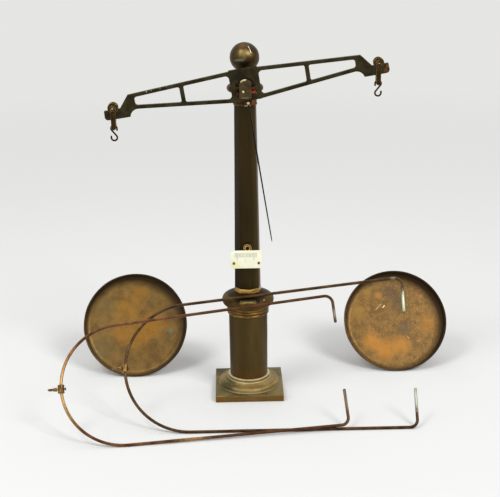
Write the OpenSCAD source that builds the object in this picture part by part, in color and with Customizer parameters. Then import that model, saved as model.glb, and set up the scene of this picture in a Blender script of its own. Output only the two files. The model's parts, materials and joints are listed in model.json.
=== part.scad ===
// Apothecary scale: a column with a ball on top, an openwork beam on a knife edge in front of it,
// two stirrups with S hooks, two loose wire bows that lean on the collar and two loose pans.
// Millimetres. Origin: centre of the base plate's underside. X runs right along the level beam,
// Y to the back and Z up.

/* [Base] */
// Side of the square base plate
base_side = 103; // [92:1:130]
// Thickness of the base plate
base_t = 10; // [8:0.5:16]
// Largest radius of the base moulding
mould_r = 45.5; // [42:0.5:49]
// Height of the round lower part of the base moulding
mould_torus_h = 7.5; // [6:0.5:12]
// Height of the hollow above it
mould_scotia_h = 5.5; // [4:0.5:12]
// Height of each of the two thin rings under the column
mould_ring_h = 1.75; // [1.5:0.25:4]

/* [Column] */
// Radius of the lower column at its foot
lower_r = 28.6; // [26:0.2:31]
// Radius of the lower column at its top
lower_top_r = 29.2; // [26:0.2:31]
// Height of the lower column
lower_h = 99.5; // [75:0.5:130]
// Wall of the lower column
lower_wall = 4; // [2:0.25:8]
// Radius of the two thin beads above the lower column
bead_r = 31.5; // [30:0.25:35]
// Height of one bead
bead_h = 5; // [3:0.25:7]
// Largest radius of the collar's flange
flange_r = 39; // [36:0.5:46]
// Height of the flange's rounded edge
flange_h = 16; // [10:0.5:20]
// Height of the slope above the rounded edge
slope_h = 5.5; // [3:0.5:9]
// Corner radius of the eight-sided fillet at the foot of the upper column
fillet_r = 21.5; // [20.5:0.25:24]
// Height of the eight-sided fillet
fillet_h = 7.5; // [4:0.5:12]
// Corner radius of the upper column at its foot
upper_r = 19.9; // [18:0.1:20.4]
// Corner radius of the upper column at its top
upper_top_r = 16.4; // [14.5:0.1:18]
// Height of the upper column
upper_h = 277; // [205:0.5:340]
// Angle by which the upper column is turned on its axis
upper_turn = 11.5; // [0:0.5:22]
// Bore radius of the upper column
upper_bore = 11; // [6:0.25:12]
// Radius of the capital's round neck
cap_neck_r = 16.6; // [15:0.1:20]
// Height of the capital's round neck
cap_neck_h = 18.5; // [12:0.5:24]
// Largest radius of the capital's ring
capital_r = 26.3; // [24:0.1:27]
// Height of the capital's ring
capital_h = 10; // [7:0.5:12]
// Radius of the ball
ball_r = 21; // [17:0.25:26]
// Radius of the neck under the ball
neck_r = 12; // [9:0.25:14]
// Height of the ball's centre above the bearing arm
ball_rise = 33.6; // [30:0.2:45]

/* [Tie rod] */
// Radius of the rod that holds the stack together
rod_r = 4; // [2.5:0.25:5]
// Plate left under the rod's blind hole
rod_floor = 3; // [2:0.25:5]

/* [Bearing] */
// Distance of the beam's middle plane in front of the column's axis
beam_front = 33; // [32.5:0.25:40]
// Thickness of the bearing arm at the column
arm_t = 5; // [4:0.25:7]
// Width of the bearing arm
arm_w = 17; // [13:0.5:19]
// Depth of the arm's lower side under the pivot
arm_drop = 13; // [10:0.5:15]
// Depth of the arm's upper side under the pivot, where the bearing stands
seat_drop = 3; // [2:0.25:4]
// Thickness of the front cheek
cheek_t = 2.6; // [1.5:0.1:4]
// Height of the cheek above the pivot
cheek_up = 9.7; // [9:0.1:13]
// Depth of the cheek under the pivot
cheek_down = 17.5; // [15:0.5:22]
// Radius of the cheek screws' heads
cheek_head_r = 1.8; // [1.5:0.1:2.6]
// Distance between the two cheek screws
cheek_screw_gap = 6; // [5.5:0.25:11]

/* [Beam] */
// Distance from the pivot to each end knife
arm_length = 188; // [160:1:220]
// Thickness of the beam
beam_t = 5; // [3:0.25:6]
// Tilt of the beam where it rests, right end up
rest_tilt = 8.8; // [4:0.1:11]
// Half width of the hub
hub_w = 21; // [18:0.5:26]
// Height of the hub above the pivot
hub_up = 24; // [20:0.5:28]
// Depth of the hub under the pivot
hub_down = 22.3; // [20:0.1:28]
// Half width of the hub's window
window_w = 14; // [12.5:0.25:15]
// Height of the hub's window above the pivot
window_up = 5.5; // [4.5:0.25:8]
// Width of the two chords
chord_w = 5.2; // [3.5:0.1:6.5]
// Drop of the upper chord from the hub's top to its own start
chord_step = 1.6; // [0.5:0.1:4]
// Height of the upper chord's edge at the end plate
tip_up = 14.6; // [12:0.2:18]
// Depth of the lower chord's edge at the end plate
tip_down = 7.2; // [5:0.2:9]
// Distance of the struts from the pivot
strut_x = 88.5; // [75:0.5:105]
// Width of the struts
strut_w = 5.9; // [4:0.1:9]
// Length of the solid end plate and its nose beyond the window
plate_l = 46; // [40:0.5:52]
// Depth of the nose's lower edge
nose_down = 16.6; // [14:0.2:17]
// Depth of the nose's upper edge
nose_up = 2.6; // [2:0.1:3.2]

/* [Knives and needle] */
// Half width of the centre knife
knife_w = 3.2; // [2.5:0.1:4]
// Height of the centre knife's wedge
knife_h = 5; // [4:0.1:6.5]
// Half width of the end knives
end_knife_w = 1.6; // [1.2:0.05:2]
// Height of the end knives' wedge
end_knife_h = 3.2; // [2.8:0.05:3.4]
// Length of the needle below the pivot
needle_l = 234; // [180:0.5:245]
// Radius of the needle at its root
needle_r = 1.35; // [1:0.05:2]
// Radius of the needle at its tip
needle_tip_r = 0.85; // [0.5:0.05:1]
// Height of the needle's holder
holder_h = 6; // [4:0.25:9]
// Width of the needle's holder
holder_w = 10.6; // [8:0.2:14]

/* [Stirrups and hooks] */
// Outer radius of a stirrup's round head
head_r = 7.4; // [6.6:0.1:9]
// Radius of the bearing in the head
eye_r = 4.4; // [4.3:0.05:5]
// Thickness of one cheek of the stirrup
fork_t = 1.8; // [1.2:0.1:3]
// Width of the stirrup's shank
shank_w = 6.8; // [5:0.1:7.4]
// Depth of the cross pin under the knife edge
pin_drop = 28; // [27.5:0.25:36]
// Radius of the cross pin
pin_r = 1.2; // [0.9:0.05:1.5]
// Radius of the hooks' wire
hook_r = 1.1; // [0.8:0.05:1.4]
// Radius of the hooks' loops at the wire's middle
loop_r = 4.2; // [4:0.05:4.6]
// Distance between the middles of a hook's two loops
loop_gap = 13.4; // [11:0.1:18]

/* [Index] */
// Height of the bracket's eye above the fillet
index_rise = 74; // [50:0.5:110]
// Radius of the bracket's eye
index_eye_r = 6.5; // [6.2:0.1:8]
// Width of the index plate
index_w = 46.5; // [42:0.5:56]
// Height of the index plate
index_h = 27.5; // [22:0.5:30]
// Thickness of the index plate
index_t = 2.4; // [1.5:0.1:4]
// Distance of the index plate's upper edge under the eye's middle
index_below = 2.6; // [2:0.1:4]
// Shift of the index plate to the left of the bracket's eye
index_shift = 2; // [0:0.25:4]
// Distance between the two plate screws
index_screw_gap = 36.6; // [30:0.2:38]

/* [Bows] */
// Radius of the bows' wire
wire_r = 2.25; // [1.75:0.05:2.75]
// Radius of the bends at the wire's ends
bend_r = 11; // [8:0.5:14]
// Radius of the front bow's round end
front_r = 88.5; // [80:0.5:94]
// Length of the front bow's lower leg
front_leg = 316; // [280:1:330]
// Length of the front bow's upper leg
front_top_leg = 323.5; // [280:0.5:340]
// Opening angle of the front bow's legs
front_open = 3.5; // [2:0.1:6]
// Angle at which the front bow leans on the collar
front_lean = 50.2; // [48.8:0.1:52]
// Length of the prong on the front bow's lower leg
front_prong = 52.5; // [35:0.5:65]
// Length of the prong on the front bow's upper leg
front_top_prong = 43; // [35:0.5:60]
// Angle between the front bow's foot and the base plate's front edge
front_yaw = 6.1; // [5:0.1:8]
// Place of the front bow's round end to the left
front_x = 175; // [165:1:185]
// Radius of the rear bow's round end
rear_r = 95; // [88:0.5:97]
// Length of the rear bow's lower leg
rear_leg = 325.5; // [290:0.5:340]
// Length of the rear bow's upper leg
rear_top_leg = 329; // [290:1:345]
// Opening angle of the rear bow's legs
rear_open = 6.3; // [4:0.1:7]
// Angle at which the rear bow leans on the collar
rear_lean = 52.4; // [50:0.1:53.5]
// Length of the prong on the rear bow's lower leg
rear_prong = 57; // [35:0.5:65]
// Length of the prong on the rear bow's upper leg
rear_top_prong = 53; // [35:0.5:60]
// Place of the rear bow's round end to the left
rear_x = 86.5; // [70:1:95]
// Radius of the barrel at a bow's round end
barrel_r = 4.9; // [4:0.1:6.5]
// Length of the barrel
barrel_l = 12; // [8:0.5:18]
// Radius of the swivel's pin
swivel_r = 1.1; // [0.8:0.05:1.3]
// Radius of the swivel's collar
stud_r = 2.8; // [2.4:0.1:4]
// Length of the swivel from barrel to eye
stud_l = 6; // [4:0.25:10]
// Inner radius of the swivel's eye
bow_eye_r = 2.4; // [2:0.1:3]
// Width of the eye's rim
bow_eye_w = 1.8; // [1.4:0.1:3]
// Thickness of the eye
bow_eye_t = 3; // [2:0.1:4.5]

/* [Pans] */
// Outer radius of a pan
pan_r = 82.5; // [70:0.5:95]
// Depth of a pan
pan_depth = 12; // [9:0.5:18]
// Thickness of the pans' sheet
pan_t = 1.6; // [1:0.1:2.5]
// Radius of the rolled rim
rim_r = 1.5; // [1:0.1:2]
// Lean of the left pan from upright
left_lean = 30; // [15:1:40]
// Lean of the right pan from upright
right_lean = 36; // [15:1:40]
// Place of the left pan to the left
left_x = 179; // [150:1:215]
// Place of the right pan to the right
right_x = 238; // [205:1:260]
// Distance of the pans' feet behind the column's axis
pan_back = 47.5; // [45:0.5:70]
// Length of one socket under a pan
socket_l = 16; // [10:0.5:17]

/* [Hidden] */
$fn = 96;
e = 0.01;
// Clearances: between bodies, of a sliding pair and of a fitted pair
gap = 0.35;
slide_fit = 0.1;
fit = 0.05;
bend_thin = 0.02;
wire_bevel = 0.5;

// Heights of the stack
z_mould = base_t;
mould_h = mould_torus_h + mould_scotia_h + 2 * mould_ring_h;
z_lower = z_mould + mould_h;
z_bead = z_lower + lower_h;
astragal_h = 2.7 * bead_h;
z_flange = z_bead + astragal_h;
z_slope = z_flange + flange_h;
z_fillet = z_slope + slope_h;
z_upper = z_fillet + fillet_h;
z_neck = z_upper + upper_h;
z_capital = z_neck + cap_neck_h;
z_arm = z_capital + capital_h;
z_pivot = z_arm + arm_t;
z_ball = z_pivot + ball_rise;
spigot_h = 5;
rod_bore = rod_r + fit;
seat_r = neck_r + 5;
lower_bore = lower_r - lower_wall;

// Beam
beam_y = -beam_front;
window_down = arm_drop * cos(rest_tilt) + arm_w / 2 * sin(rest_tilt) + gap;
window_end = arm_length - plate_l + 14;
plate_top = window_end + 8.4;
plate_neck = arm_length - 9.5;
nose_end = arm_length + 14;
chord_up = hub_up - chord_step;
cheek_gap = 2.9;
arm_end = beam_front + beam_t / 2 + cheek_gap;
knife_l = 2 * (arm_end - beam_front) - 2 * gap;
side_gap = 0.8;
fork_in = beam_t / 2 + side_gap;
fork_out = fork_in + fork_t;
spacer_drop = nose_down + 3;

// Bows
flange_edge = flange_h / 2;
flange_mid = flange_r - flange_edge;
z_edge = z_flange + flange_edge;
// Normal of the collar's slope
slope_len = sqrt(pow(flange_mid - fillet_r, 2) + pow(slope_h, 2));
slope_nr = slope_h / slope_len;
slope_nz = (flange_mid - fillet_r) / slope_len;

// Upper leg: in-plane point where it starts, turned by g about the round end's middle
function leg_u(r, open, g) = r * cos(90 + open + g);
function leg_v(r, open, g) = r + r * sin(90 + open + g);
// In-plane place on the upper leg that lies above the column's axis
function axis_u(r, open, g, yaw, x, lean) =
    (x + (leg_v(r, open, g) - leg_u(r, open, g) * tan(open + g)) * cos(lean) * sin(yaw))
    / (cos(yaw) - tan(open + g) * cos(lean) * sin(yaw));
function axis_v(r, open, g, u) = leg_v(r, open, g) + (u - leg_u(r, open, g)) * tan(open + g);
// Share of a distance in front of the column that is left square to the upper leg, seen from above
function square_share(open, g, yaw, lean) = cos(yaw + atan(cos(lean) * tan(open + g)));

// Rear bow: its upper leg rests on the collar's slope
rear_v = axis_v(rear_r, rear_open, 0, axis_u(rear_r, rear_open, 0, 0, rear_x, rear_lean));
rear_z = wire_r + rear_v * sin(rear_lean);
rear_on_slope = (fillet_r * slope_nr + z_fillet * slope_nz + wire_r + gap
    - rear_z * slope_nz) / slope_nr;
rear_on_edge = flange_mid + sqrt(max(0, pow(flange_edge + wire_r + gap, 2) - pow(rear_z - z_edge, 2)));
rear_reach = max(rear_on_slope, fillet_r + wire_r + gap, rear_z < z_slope ? rear_on_edge : 0);
rear_y = -rear_reach / square_share(rear_open, 0, 0, rear_lean) - rear_v * cos(rear_lean);

// Front bow: its upper leg rests on the flange's edge, its lower leg crosses over the rear bow's
function front_reach(z) = abs(z - z_edge) < flange_edge + wire_r + gap
    ? flange_mid + sqrt(pow(flange_edge + wire_r + gap, 2) - pow(z - z_edge, 2))
    : flange_mid;
function front_y_at(g) =
    let (u = axis_u(front_r, front_open, g, front_yaw, front_x, front_lean),
         v = axis_v(front_r, front_open, g, u))
    -front_reach(wire_r + v * sin(front_lean)) / square_share(front_open, g, front_yaw, front_lean)
    - u * sin(front_yaw) - v * cos(front_lean) * cos(front_yaw);
cross_v = (2 * wire_r + gap) / sin(front_lean);
function cross_at(y) = (rear_y - y - cross_v * cos(front_lean) * cos(front_yaw)) / sin(front_yaw);
function rise_at(g) = atan(cross_v / cross_at(front_y_at(g)));
front_rise = rise_at(rise_at(rise_at(1.2)));
front_y = front_y_at(front_rise);

// Pans
pan_bend = pan_depth - rim_r;
pan_floor = pan_r - rim_r - pan_bend + pan_t / 2;
socket_out = pan_floor - 2;
socket_bore = wire_r + 3 * slide_fit;

// Bend in a wire about Z. It is a hair thinner than the straight wire and reaches a little into it.
module wire_ring(r, wire, from, turn) {
    lap = 0.2 / r * 180 / PI;
    rotate([0, 0, from - lap])
        rotate_extrude(angle = turn + 2 * lap)
            translate([r, 0])
                circle(r = wire - bend_thin);
}

// Bevelled end of a wire that points along Z
module wire_end(wire) {
    cylinder(r1 = wire, r2 = wire - wire_bevel, h = wire_bevel);
}

// Rod along the Y axis from y0 to y1
module rod_y(r, y0, y1) {
    translate([0, y0, 0])
        rotate([-90, 0, 0])
            cylinder(r = r, h = y1 - y0);
}

// Square base plate with the blind hole into which the rod is screwed
module base_plate() {
    color([0.40, 0.34, 0.20])
    difference() {
        translate([-base_side / 2, -base_side / 2, 0])
            cube([base_side, base_side, base_t]);
        translate([0, 0, rod_floor])
            cylinder(r = rod_bore, h = base_t);
    }
}

// Turned moulding: thin foot, rounded edge, hollow, two thin rings and a spigot for the column
module base_moulding() {
    torus_r = mould_torus_h / 2;
    top_r = lower_r + 2.9;
    shoulder_r = mould_r - torus_r - 0.8;
    z1 = mould_torus_h + 1;
    z2 = mould_torus_h + mould_scotia_h;
    // The hollow's circle lies flat at the shoulder and rises to the rings
    hollow_r = (pow(shoulder_r - top_r, 2) + pow(z2 - z1, 2)) / (2 * (z2 - z1));
    color([0.45, 0.36, 0.20])
    translate([0, 0, z_mould])
    rotate_extrude()
    difference() {
        union() {
            square([mould_r + 0.7, 1]);
            square([mould_r, torus_r]);
            square([mould_r - torus_r, mould_torus_h]);
            translate([mould_r - torus_r, torus_r])
                circle(r = torus_r);
            difference() {
                square([shoulder_r, z2]);
                translate([shoulder_r, z1 + hollow_r])
                    circle(r = hollow_r);
            }
            translate([0, z2 - e])
                square([top_r - mould_ring_h / 2, 2 * mould_ring_h + e]);
            for (k = [0, 1])
                translate([top_r - mould_ring_h / 2, z2 + (k + 0.5) * mould_ring_h])
                    circle(r = mould_ring_h / 2);
            translate([0, mould_h - e])
                square([lower_bore - fit, spigot_h + e]);
        }
        translate([0, -1])
            square([rod_bore, mould_h + spigot_h + 2]);
    }
}

// Round tube that widens slightly upwards
module lower_column() {
    color([0.33, 0.26, 0.14])
    translate([0, 0, z_lower])
    difference() {
        cylinder(r1 = lower_r, r2 = lower_top_r, h = lower_h);
        translate([0, 0, -1])
            cylinder(r = lower_bore, h = lower_h + 2);
    }
}

// Two beads and the small hollow under the flange
module column_astragal() {
    color([0.42, 0.33, 0.17])
    translate([0, 0, z_bead])
    rotate_extrude()
    difference() {
        union() {
            translate([0, -spigot_h])
                square([lower_bore - fit, spigot_h + e]);
            square([bead_r - bead_h / 2, astragal_h]);
            for (k = [0, 1])
                translate([bead_r - bead_h / 2, (k + 0.5) * bead_h])
                    circle(r = bead_h / 2);
            translate([0, 2 * bead_h - e])
                square([bead_r - 0.6, 0.7 * bead_h + e]);
        }
        translate([0, -spigot_h - 1])
            square([rod_bore, astragal_h + spigot_h + 2]);
    }
}

// Wide flange with a rounded edge and a sloping top
module collar_flange() {
    color([0.36, 0.27, 0.15])
    translate([0, 0, z_flange])
    rotate_extrude()
    difference() {
        union() {
            square([flange_mid, flange_h]);
            translate([flange_mid, flange_edge])
                circle(r = flange_edge);
            polygon([[0, flange_h - e], [flange_mid, flange_h - e], [fillet_r, flange_h + slope_h],
                     [0, flange_h + slope_h]]);
        }
        translate([0, -1])
            square([rod_bore, flange_h + slope_h + 2]);
    }
}

// Eight-sided bright ring with the spigot of the upper column
module collar_fillet() {
    color([0.72, 0.55, 0.22])
    translate([0, 0, z_fillet])
    difference() {
        union() {
            rotate([0, 0, upper_turn])
                cylinder(r = fillet_r, h = fillet_h, $fn = 8);
            cylinder(r = upper_bore - fit, h = fillet_h + spigot_h);
        }
        translate([0, 0, -1])
            cylinder(r = rod_bore, h = fillet_h + spigot_h + 2);
    }
}

// Eight-sided column: a square bar cut by eight leaning planes
module upper_column() {
    face = upper_r * cos(22.5);
    lean = atan((upper_r - upper_top_r) * cos(22.5) / upper_h);
    wide = 2 * upper_r;
    color([0.24, 0.19, 0.11])
    translate([0, 0, z_upper])
    difference() {
        rotate([0, 0, upper_turn])
        difference() {
            translate([-upper_r, -upper_r, 0])
                cube([wide, wide, upper_h]);
            for (k = [0 : 7])
                rotate([0, 0, 22.5 + 45 * k])
                    translate([face, -wide, 0])
                        rotate([0, -lean, 0])
                            translate([0, 0, -wide])
                                cube([wide, 2 * wide, upper_h + 2 * wide]);
        }
        translate([0, 0, -1])
            cylinder(r = upper_bore, h = upper_h + 2);
        translate([0, 0, index_rise - fillet_h]) {
            rod_y(index_spigot_r + fit, -100, -index_seat);
            rod_y(index_screw_r + fit, -100, 0);
        }
    }
}

// Round neck on top of the column and the rounded ring above it, under the bearing arm
module capital_ring() {
    edge = capital_h / 2;
    color([0.45, 0.28, 0.12])
    translate([0, 0, z_capital])
    rotate_extrude()
    difference() {
        union() {
            square([capital_r - edge, capital_h]);
            translate([capital_r - edge, edge])
                circle(r = edge);
            translate([0, -cap_neck_h])
                square([cap_neck_r, cap_neck_h + e]);
            translate([0, -cap_neck_h])
                square([cap_neck_r + 0.9, 1.6]);
            translate([0, -cap_neck_h - spigot_h])
                square([upper_bore - fit, spigot_h + e]);
        }
        translate([0, -cap_neck_h - spigot_h - 1])
            square([rod_bore, cap_neck_h + capital_h + spigot_h + 2]);
    }
}

// Ball with its neck, screwed onto the rod
module ball_finial() {
    color([0.45, 0.36, 0.18])
    difference() {
        union() {
            translate([0, 0, z_ball])
                sphere(r = ball_r);
            translate([0, 0, z_pivot])
                cylinder(r = seat_r, h = 5);
            translate([0, 0, z_pivot])
                cylinder(r = neck_r, h = ball_rise - ball_r / 2);
        }
        translate([0, 0, z_pivot - 1])
            cylinder(r = rod_bore, h = ball_rise - ball_r / 2 + 1);
    }
}

// Rod from the base plate up into the ball
module tie_rod() {
    color([0.40, 0.38, 0.34])
    translate([0, 0, rod_floor + 0.5])
        cylinder(r = rod_r, h = z_pivot + ball_rise - ball_r / 2 - rod_floor - 1);
}

// Arm clamped under the ball's neck that reaches through the hub's window
module bearing_arm() {
    back = capital_r + 0.6;
    color([0.42, 0.30, 0.16])
    difference() {
        union() {
            translate([0, 0, z_arm])
                cylinder(r = seat_r, h = arm_t);
            translate([-arm_w / 2, 0, 0])
                rotate([90, 0, 90])
                    linear_extrude(height = arm_w)
                        polygon([
                            [0, z_arm], [-back, z_arm], [-back, z_pivot - arm_drop],
                            [-arm_end, z_pivot - arm_drop], [-arm_end, z_pivot - seat_drop],
                            [-back, z_pivot - seat_drop], [-back + seat_drop, z_pivot], [0, z_pivot]
                        ]);
        }
        translate([0, 0, z_arm - 1])
            cylinder(r = rod_bore, h = arm_t + 2);
        for (s = [-1, 1])
            translate([s * cheek_screw_gap / 2, 0, z_pivot - cheek_screw_drop])
                rod_y(cheek_screw_r + fit, -arm_end - 1, -arm_end + 7);
    }
}

// Hard block with the groove in which the centre knife rocks
module centre_bearing() {
    top = 1.3;
    wide = 10;
    half_open = atan(knife_w / knife_h) + rest_tilt + 14;
    color([0.35, 0.12, 0.08])
    translate([0, -arm_end + 0.1, z_pivot])
        rotate([-90, 0, 0])
            linear_extrude(height = arm_end - capital_r - 1.2)
                difference() {
                    translate([-wide / 2, -top])
                        square([wide, seat_drop + top]);
                    polygon([[0, gap], [-10 * tan(half_open), gap - 10], [10 * tan(half_open), gap - 10]]);
                }
}

// Plate with an arched top that keeps the knife from walking forward
module front_cheek() {
    r = arm_w / 2;
    color([0.36, 0.29, 0.17])
    difference() {
        translate([0, -arm_end, z_pivot])
            rotate([90, 0, 0])
                linear_extrude(height = cheek_t)
                    union() {
                        translate([-r, -cheek_down])
                            square([arm_w, cheek_down + cheek_up - r]);
                        translate([0, cheek_up - r])
                            circle(r = r);
                    }
        for (s = [-1, 1])
            translate([s * cheek_screw_gap / 2, 0, z_pivot - cheek_screw_drop])
                rod_y(cheek_screw_r + fit, -arm_end - cheek_t - 1, -arm_end + 1);
    }
}

cheek_screw_r = 1.2;
cheek_screw_drop = (arm_drop + seat_drop) / 2;

module cheek_screws() {
    color([0.75, 0.62, 0.32])
    for (s = [-1, 1])
        translate([s * cheek_screw_gap / 2, 0, z_pivot - cheek_screw_drop])
            union() {
                rod_y(cheek_screw_r, -arm_end - cheek_t - e, -arm_end + 6.5);
                rod_y(cheek_head_r, -arm_end - cheek_t - 1.4, -arm_end - cheek_t);
            }
}

// Places children in the tilted beam's own plane: x along it, y across it, z towards the front
module in_beam() {
    translate([0, beam_y, z_pivot])
        rotate([0, -rest_tilt, 0])
            rotate([90, 0, 0])
                children();
}

// Edges of the chords at the distance a from the pivot
function top_edge(a) = chord_up + (tip_up - chord_up) * (a - hub_w) / (plate_top - hub_w);
chord_down = hub_down - 0.6;
function low_edge(a) = -chord_down + (chord_down - tip_down) * (a - hub_w) / (window_end - 3 - hub_w);
top_slope = atan((chord_up - tip_up) / (plate_top - hub_w));
low_slope = atan((chord_down - tip_down) / (window_end - 3 - hub_w));
function win_top(a) = top_edge(a) - chord_w;
function win_low(a) = low_edge(a) + chord_w;

// Points of an arc, from one angle to the other
function arc_points(centre, r, from, to, steps) =
    [for (k = [0 : steps]) centre + r * [cos(from + (to - from) * k / steps), sin(from + (to - from) * k / steps)]];

// Rounded corner at p between an edge that leaves at the angle out and one that comes in from back
function round_corner(p, out, back, r) =
    arc_points(p + r / sin((back - out) / 2) * [cos((back + out) / 2), sin((back + out) / 2)],
               r, back + 90, out + 270, 6);

// One window between the chords from a0 to a1
function window_points(a0, a1, r0, r1) = concat(
    round_corner([a0, win_low(a0)], low_slope, 90, r0),
    round_corner([a1, win_low(a1)], 90, 180 + low_slope, r1),
    round_corner([a1, win_top(a1)], 180 - top_slope, 270, r1),
    round_corner([a0, win_top(a0)], 270, 360 - top_slope, r0)
);

// Hollow curve from the nose's lower edge up to the lower chord
plate_arc = 12;
plate_arc_mid = [window_end - 3 + plate_arc * sin(low_slope), -tip_down - plate_arc * cos(low_slope)];
plate_arc_foot = asin((-nose_down - plate_arc_mid[1]) / plate_arc);

// Right half of the beam's outline
module beam_half() {
    difference() {
        polygon(concat(
            [[0, -hub_down], [hub_w - 2, -hub_down], [hub_w, low_edge(hub_w)]],
            arc_points(plate_arc_mid, plate_arc, 90 + low_slope, plate_arc_foot, 8),
            [[arm_length, -nose_down], [nose_end - 2, -nose_down + 2.4], [nose_end, -nose_up - 8.5],
             [nose_end - 1, -nose_up], [plate_neck, -nose_up], [plate_top, tip_up],
             [hub_w, top_edge(hub_w)], [hub_w - 2, hub_up], [0, hub_up]]
        ));
        polygon(window_points(hub_w, strut_x - strut_w / 2, 5, 2.5));
        polygon(window_points(strut_x + strut_w / 2, window_end, 2.5, 4));
        polygon(end_knife_points());
    }
}

// Cross section of an end knife, edge up at the stirrup's axis
function end_knife_points() = [
    [arm_length, 0],
    [arm_length + end_knife_w, -end_knife_h],
    [arm_length + end_knife_w, -end_knife_h - 0.5],
    [arm_length - end_knife_w, -end_knife_h - 0.5],
    [arm_length - end_knife_w, -end_knife_h]
];

// Cross section of the centre knife, edge down at the pivot
function knife_points() = [
    [0, 0],
    [knife_w, knife_h],
    [knife_w, window_up + 3],
    [-knife_w, window_up + 3],
    [-knife_w, knife_h]
];

// Openwork beam, symmetric about its hub
module beam() {
    color([0.22, 0.17, 0.11])
    in_beam()
        translate([0, 0, -beam_t / 2])
            linear_extrude(height = beam_t)
                difference() {
                    union() {
                        beam_half();
                        mirror([1, 0])
                            beam_half();
                    }
                    polygon([
                        [-window_w, -window_down], [window_w, -window_down], [window_w, window_up],
                        [knife_w, window_up], [knife_w, window_up + 3], [-knife_w, window_up + 3],
                        [-knife_w, window_up], [-window_w, window_up]
                    ]);
                }
}

module centre_knife() {
    color([0.55, 0.53, 0.50])
    in_beam()
        translate([0, 0, -knife_l / 2])
            linear_extrude(height = knife_l)
                polygon(knife_points());
}

module end_knives() {
    long = 2 * fork_out + 0.6;
    color([0.60, 0.50, 0.30])
    for (s = [0, 1])
        in_beam()
            mirror([s, 0, 0])
                translate([0, 0, -long / 2])
                    linear_extrude(height = long)
                        polygon(end_knife_points());
}

holder_t = beam_t + 2;

module needle_holder() {
    color([0.40, 0.30, 0.16])
    in_beam()
        difference() {
            translate([-holder_w / 2, -hub_down - holder_h, -holder_t / 2])
                cube([holder_w, holder_h, holder_t]);
            rod_y(needle_r + fit, -hub_down - holder_h - 1, -hub_down + 1);
            translate([0, -hub_down - holder_h / 2, 0])
                cylinder(r = holder_screw_r + fit, h = holder_t);
        }
}

holder_screw_r = 0.9;

module needle_screw() {
    color([0.78, 0.66, 0.36])
    in_beam()
        translate([0, -hub_down - holder_h / 2, 0])
            union() {
                translate([0, 0, needle_r + fit])
                    cylinder(r = holder_screw_r, h = holder_t / 2 - needle_r);
                translate([0, 0, holder_t / 2])
                    cylinder(r = 2, h = 1.2);
            }
}

// Long needle, straight and slightly tapered
module needle() {
    color([0.14, 0.12, 0.09])
    in_beam()
        translate([0, -hub_down - 0.5, 0])
            rotate([90, 0, 0])
                union() {
                    cylinder(r = needle_r, h = holder_h + 1);
                    translate([0, 0, holder_h + 1 - e])
                        cylinder(r1 = needle_r, r2 = needle_tip_r,
                                 h = needle_l - hub_down - holder_h - 1.5 + e);
                }
}

// Places children at an end knife's edge, s = -1 left, 1 right
module at_end(s) {
    translate([s * arm_length * cos(rest_tilt), beam_y, z_pivot + s * arm_length * sin(rest_tilt)])
        children();
}

// Outline of one cheek of a stirrup, seen from the front
module cheek_outline() {
    difference() {
        union() {
            circle(r = head_r);
            translate([-shank_w / 2, -pin_drop])
                square([shank_w, pin_drop]);
            translate([0, -pin_drop])
                circle(r = shank_w / 2);
        }
        circle(r = eye_r);
        translate([0, -pin_drop])
            circle(r = pin_r + fit);
    }
}

// Fork of two cheeks and the spacer under the beam's nose
module stirrup(s) {
    color([0.34, 0.24, 0.14])
    at_end(s)
        union() {
            for (y = [-fork_out, fork_in])
                translate([0, y + fork_t, 0])
                    rotate([90, 0, 0])
                        linear_extrude(height = fork_t)
                            cheek_outline();
            translate([-shank_w / 2, -fork_in - e, -spacer_drop - 3])
                cube([shank_w, 2 * fork_in + 2 * e, 3]);
        }
}

// Brass fillings of the heads, notched from below for the knife edge
module stirrup_bearings(s) {
    half_open = 60;
    color([0.70, 0.55, 0.25])
    at_end(s)
        for (y = [-fork_out, fork_in])
            translate([0, y + fork_t, 0])
                rotate([90, 0, 0])
                    linear_extrude(height = fork_t)
                        difference() {
                            circle(r = eye_r);
                            polygon([[0, gap], [-9 * tan(half_open), gap - 9],
                                     [9 * tan(half_open), gap - 9]]);
                        }
}

// Cross pin with a small head on each side
module stirrup_pin(s) {
    color([0.55, 0.42, 0.22])
    at_end(s)
        translate([0, 0, -pin_drop])
            union() {
                rod_y(pin_r, -fork_out - e, fork_out + e);
                rod_y(pin_r + 0.7, -fork_out - 0.7, -fork_out);
                rod_y(pin_r + 0.7, fork_out, fork_out + 0.7);
            }
}

// S hook in the plane of the beam, its free ends to the outside below and the inside above
module hook(s) {
    turn = asin(2 * loop_r / loop_gap);
    strand = sqrt(pow(loop_gap, 2) - pow(2 * loop_r, 2));
    seat = pin_drop - pin_r + loop_r - hook_r - gap;
    color([0.42, 0.28, 0.14])
    at_end(s)
        mirror([s < 0 ? 1 : 0, 0, 0])
            translate([0, 0, -seat])
                rotate([90, 0, 0])
                    union() {
                        wire_ring(loop_r, hook_r, -turn, 180 + turn);
                        translate([-loop_r, 0, 0])
                            rod_y(hook_r, -3.6, 0);
                        translate([-loop_r, -3.6 + e, 0])
                            rotate([90, 0, 0])
                                wire_end(hook_r);
                        translate([0, -loop_gap / 2, 0])
                            rotate([0, 0, -turn])
                                rod_y(hook_r, -strand / 2, strand / 2);
                        translate([0, -loop_gap, 0]) {
                            wire_ring(loop_r, hook_r, 180 - turn, 180 + turn);
                            translate([loop_r, 0, 0])
                                rod_y(hook_r, 0, 3);
                            translate([loop_r, 3 - e, 0])
                                rotate([-90, 0, 0])
                                    wire_end(hook_r);
                        }
                    }
}

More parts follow.
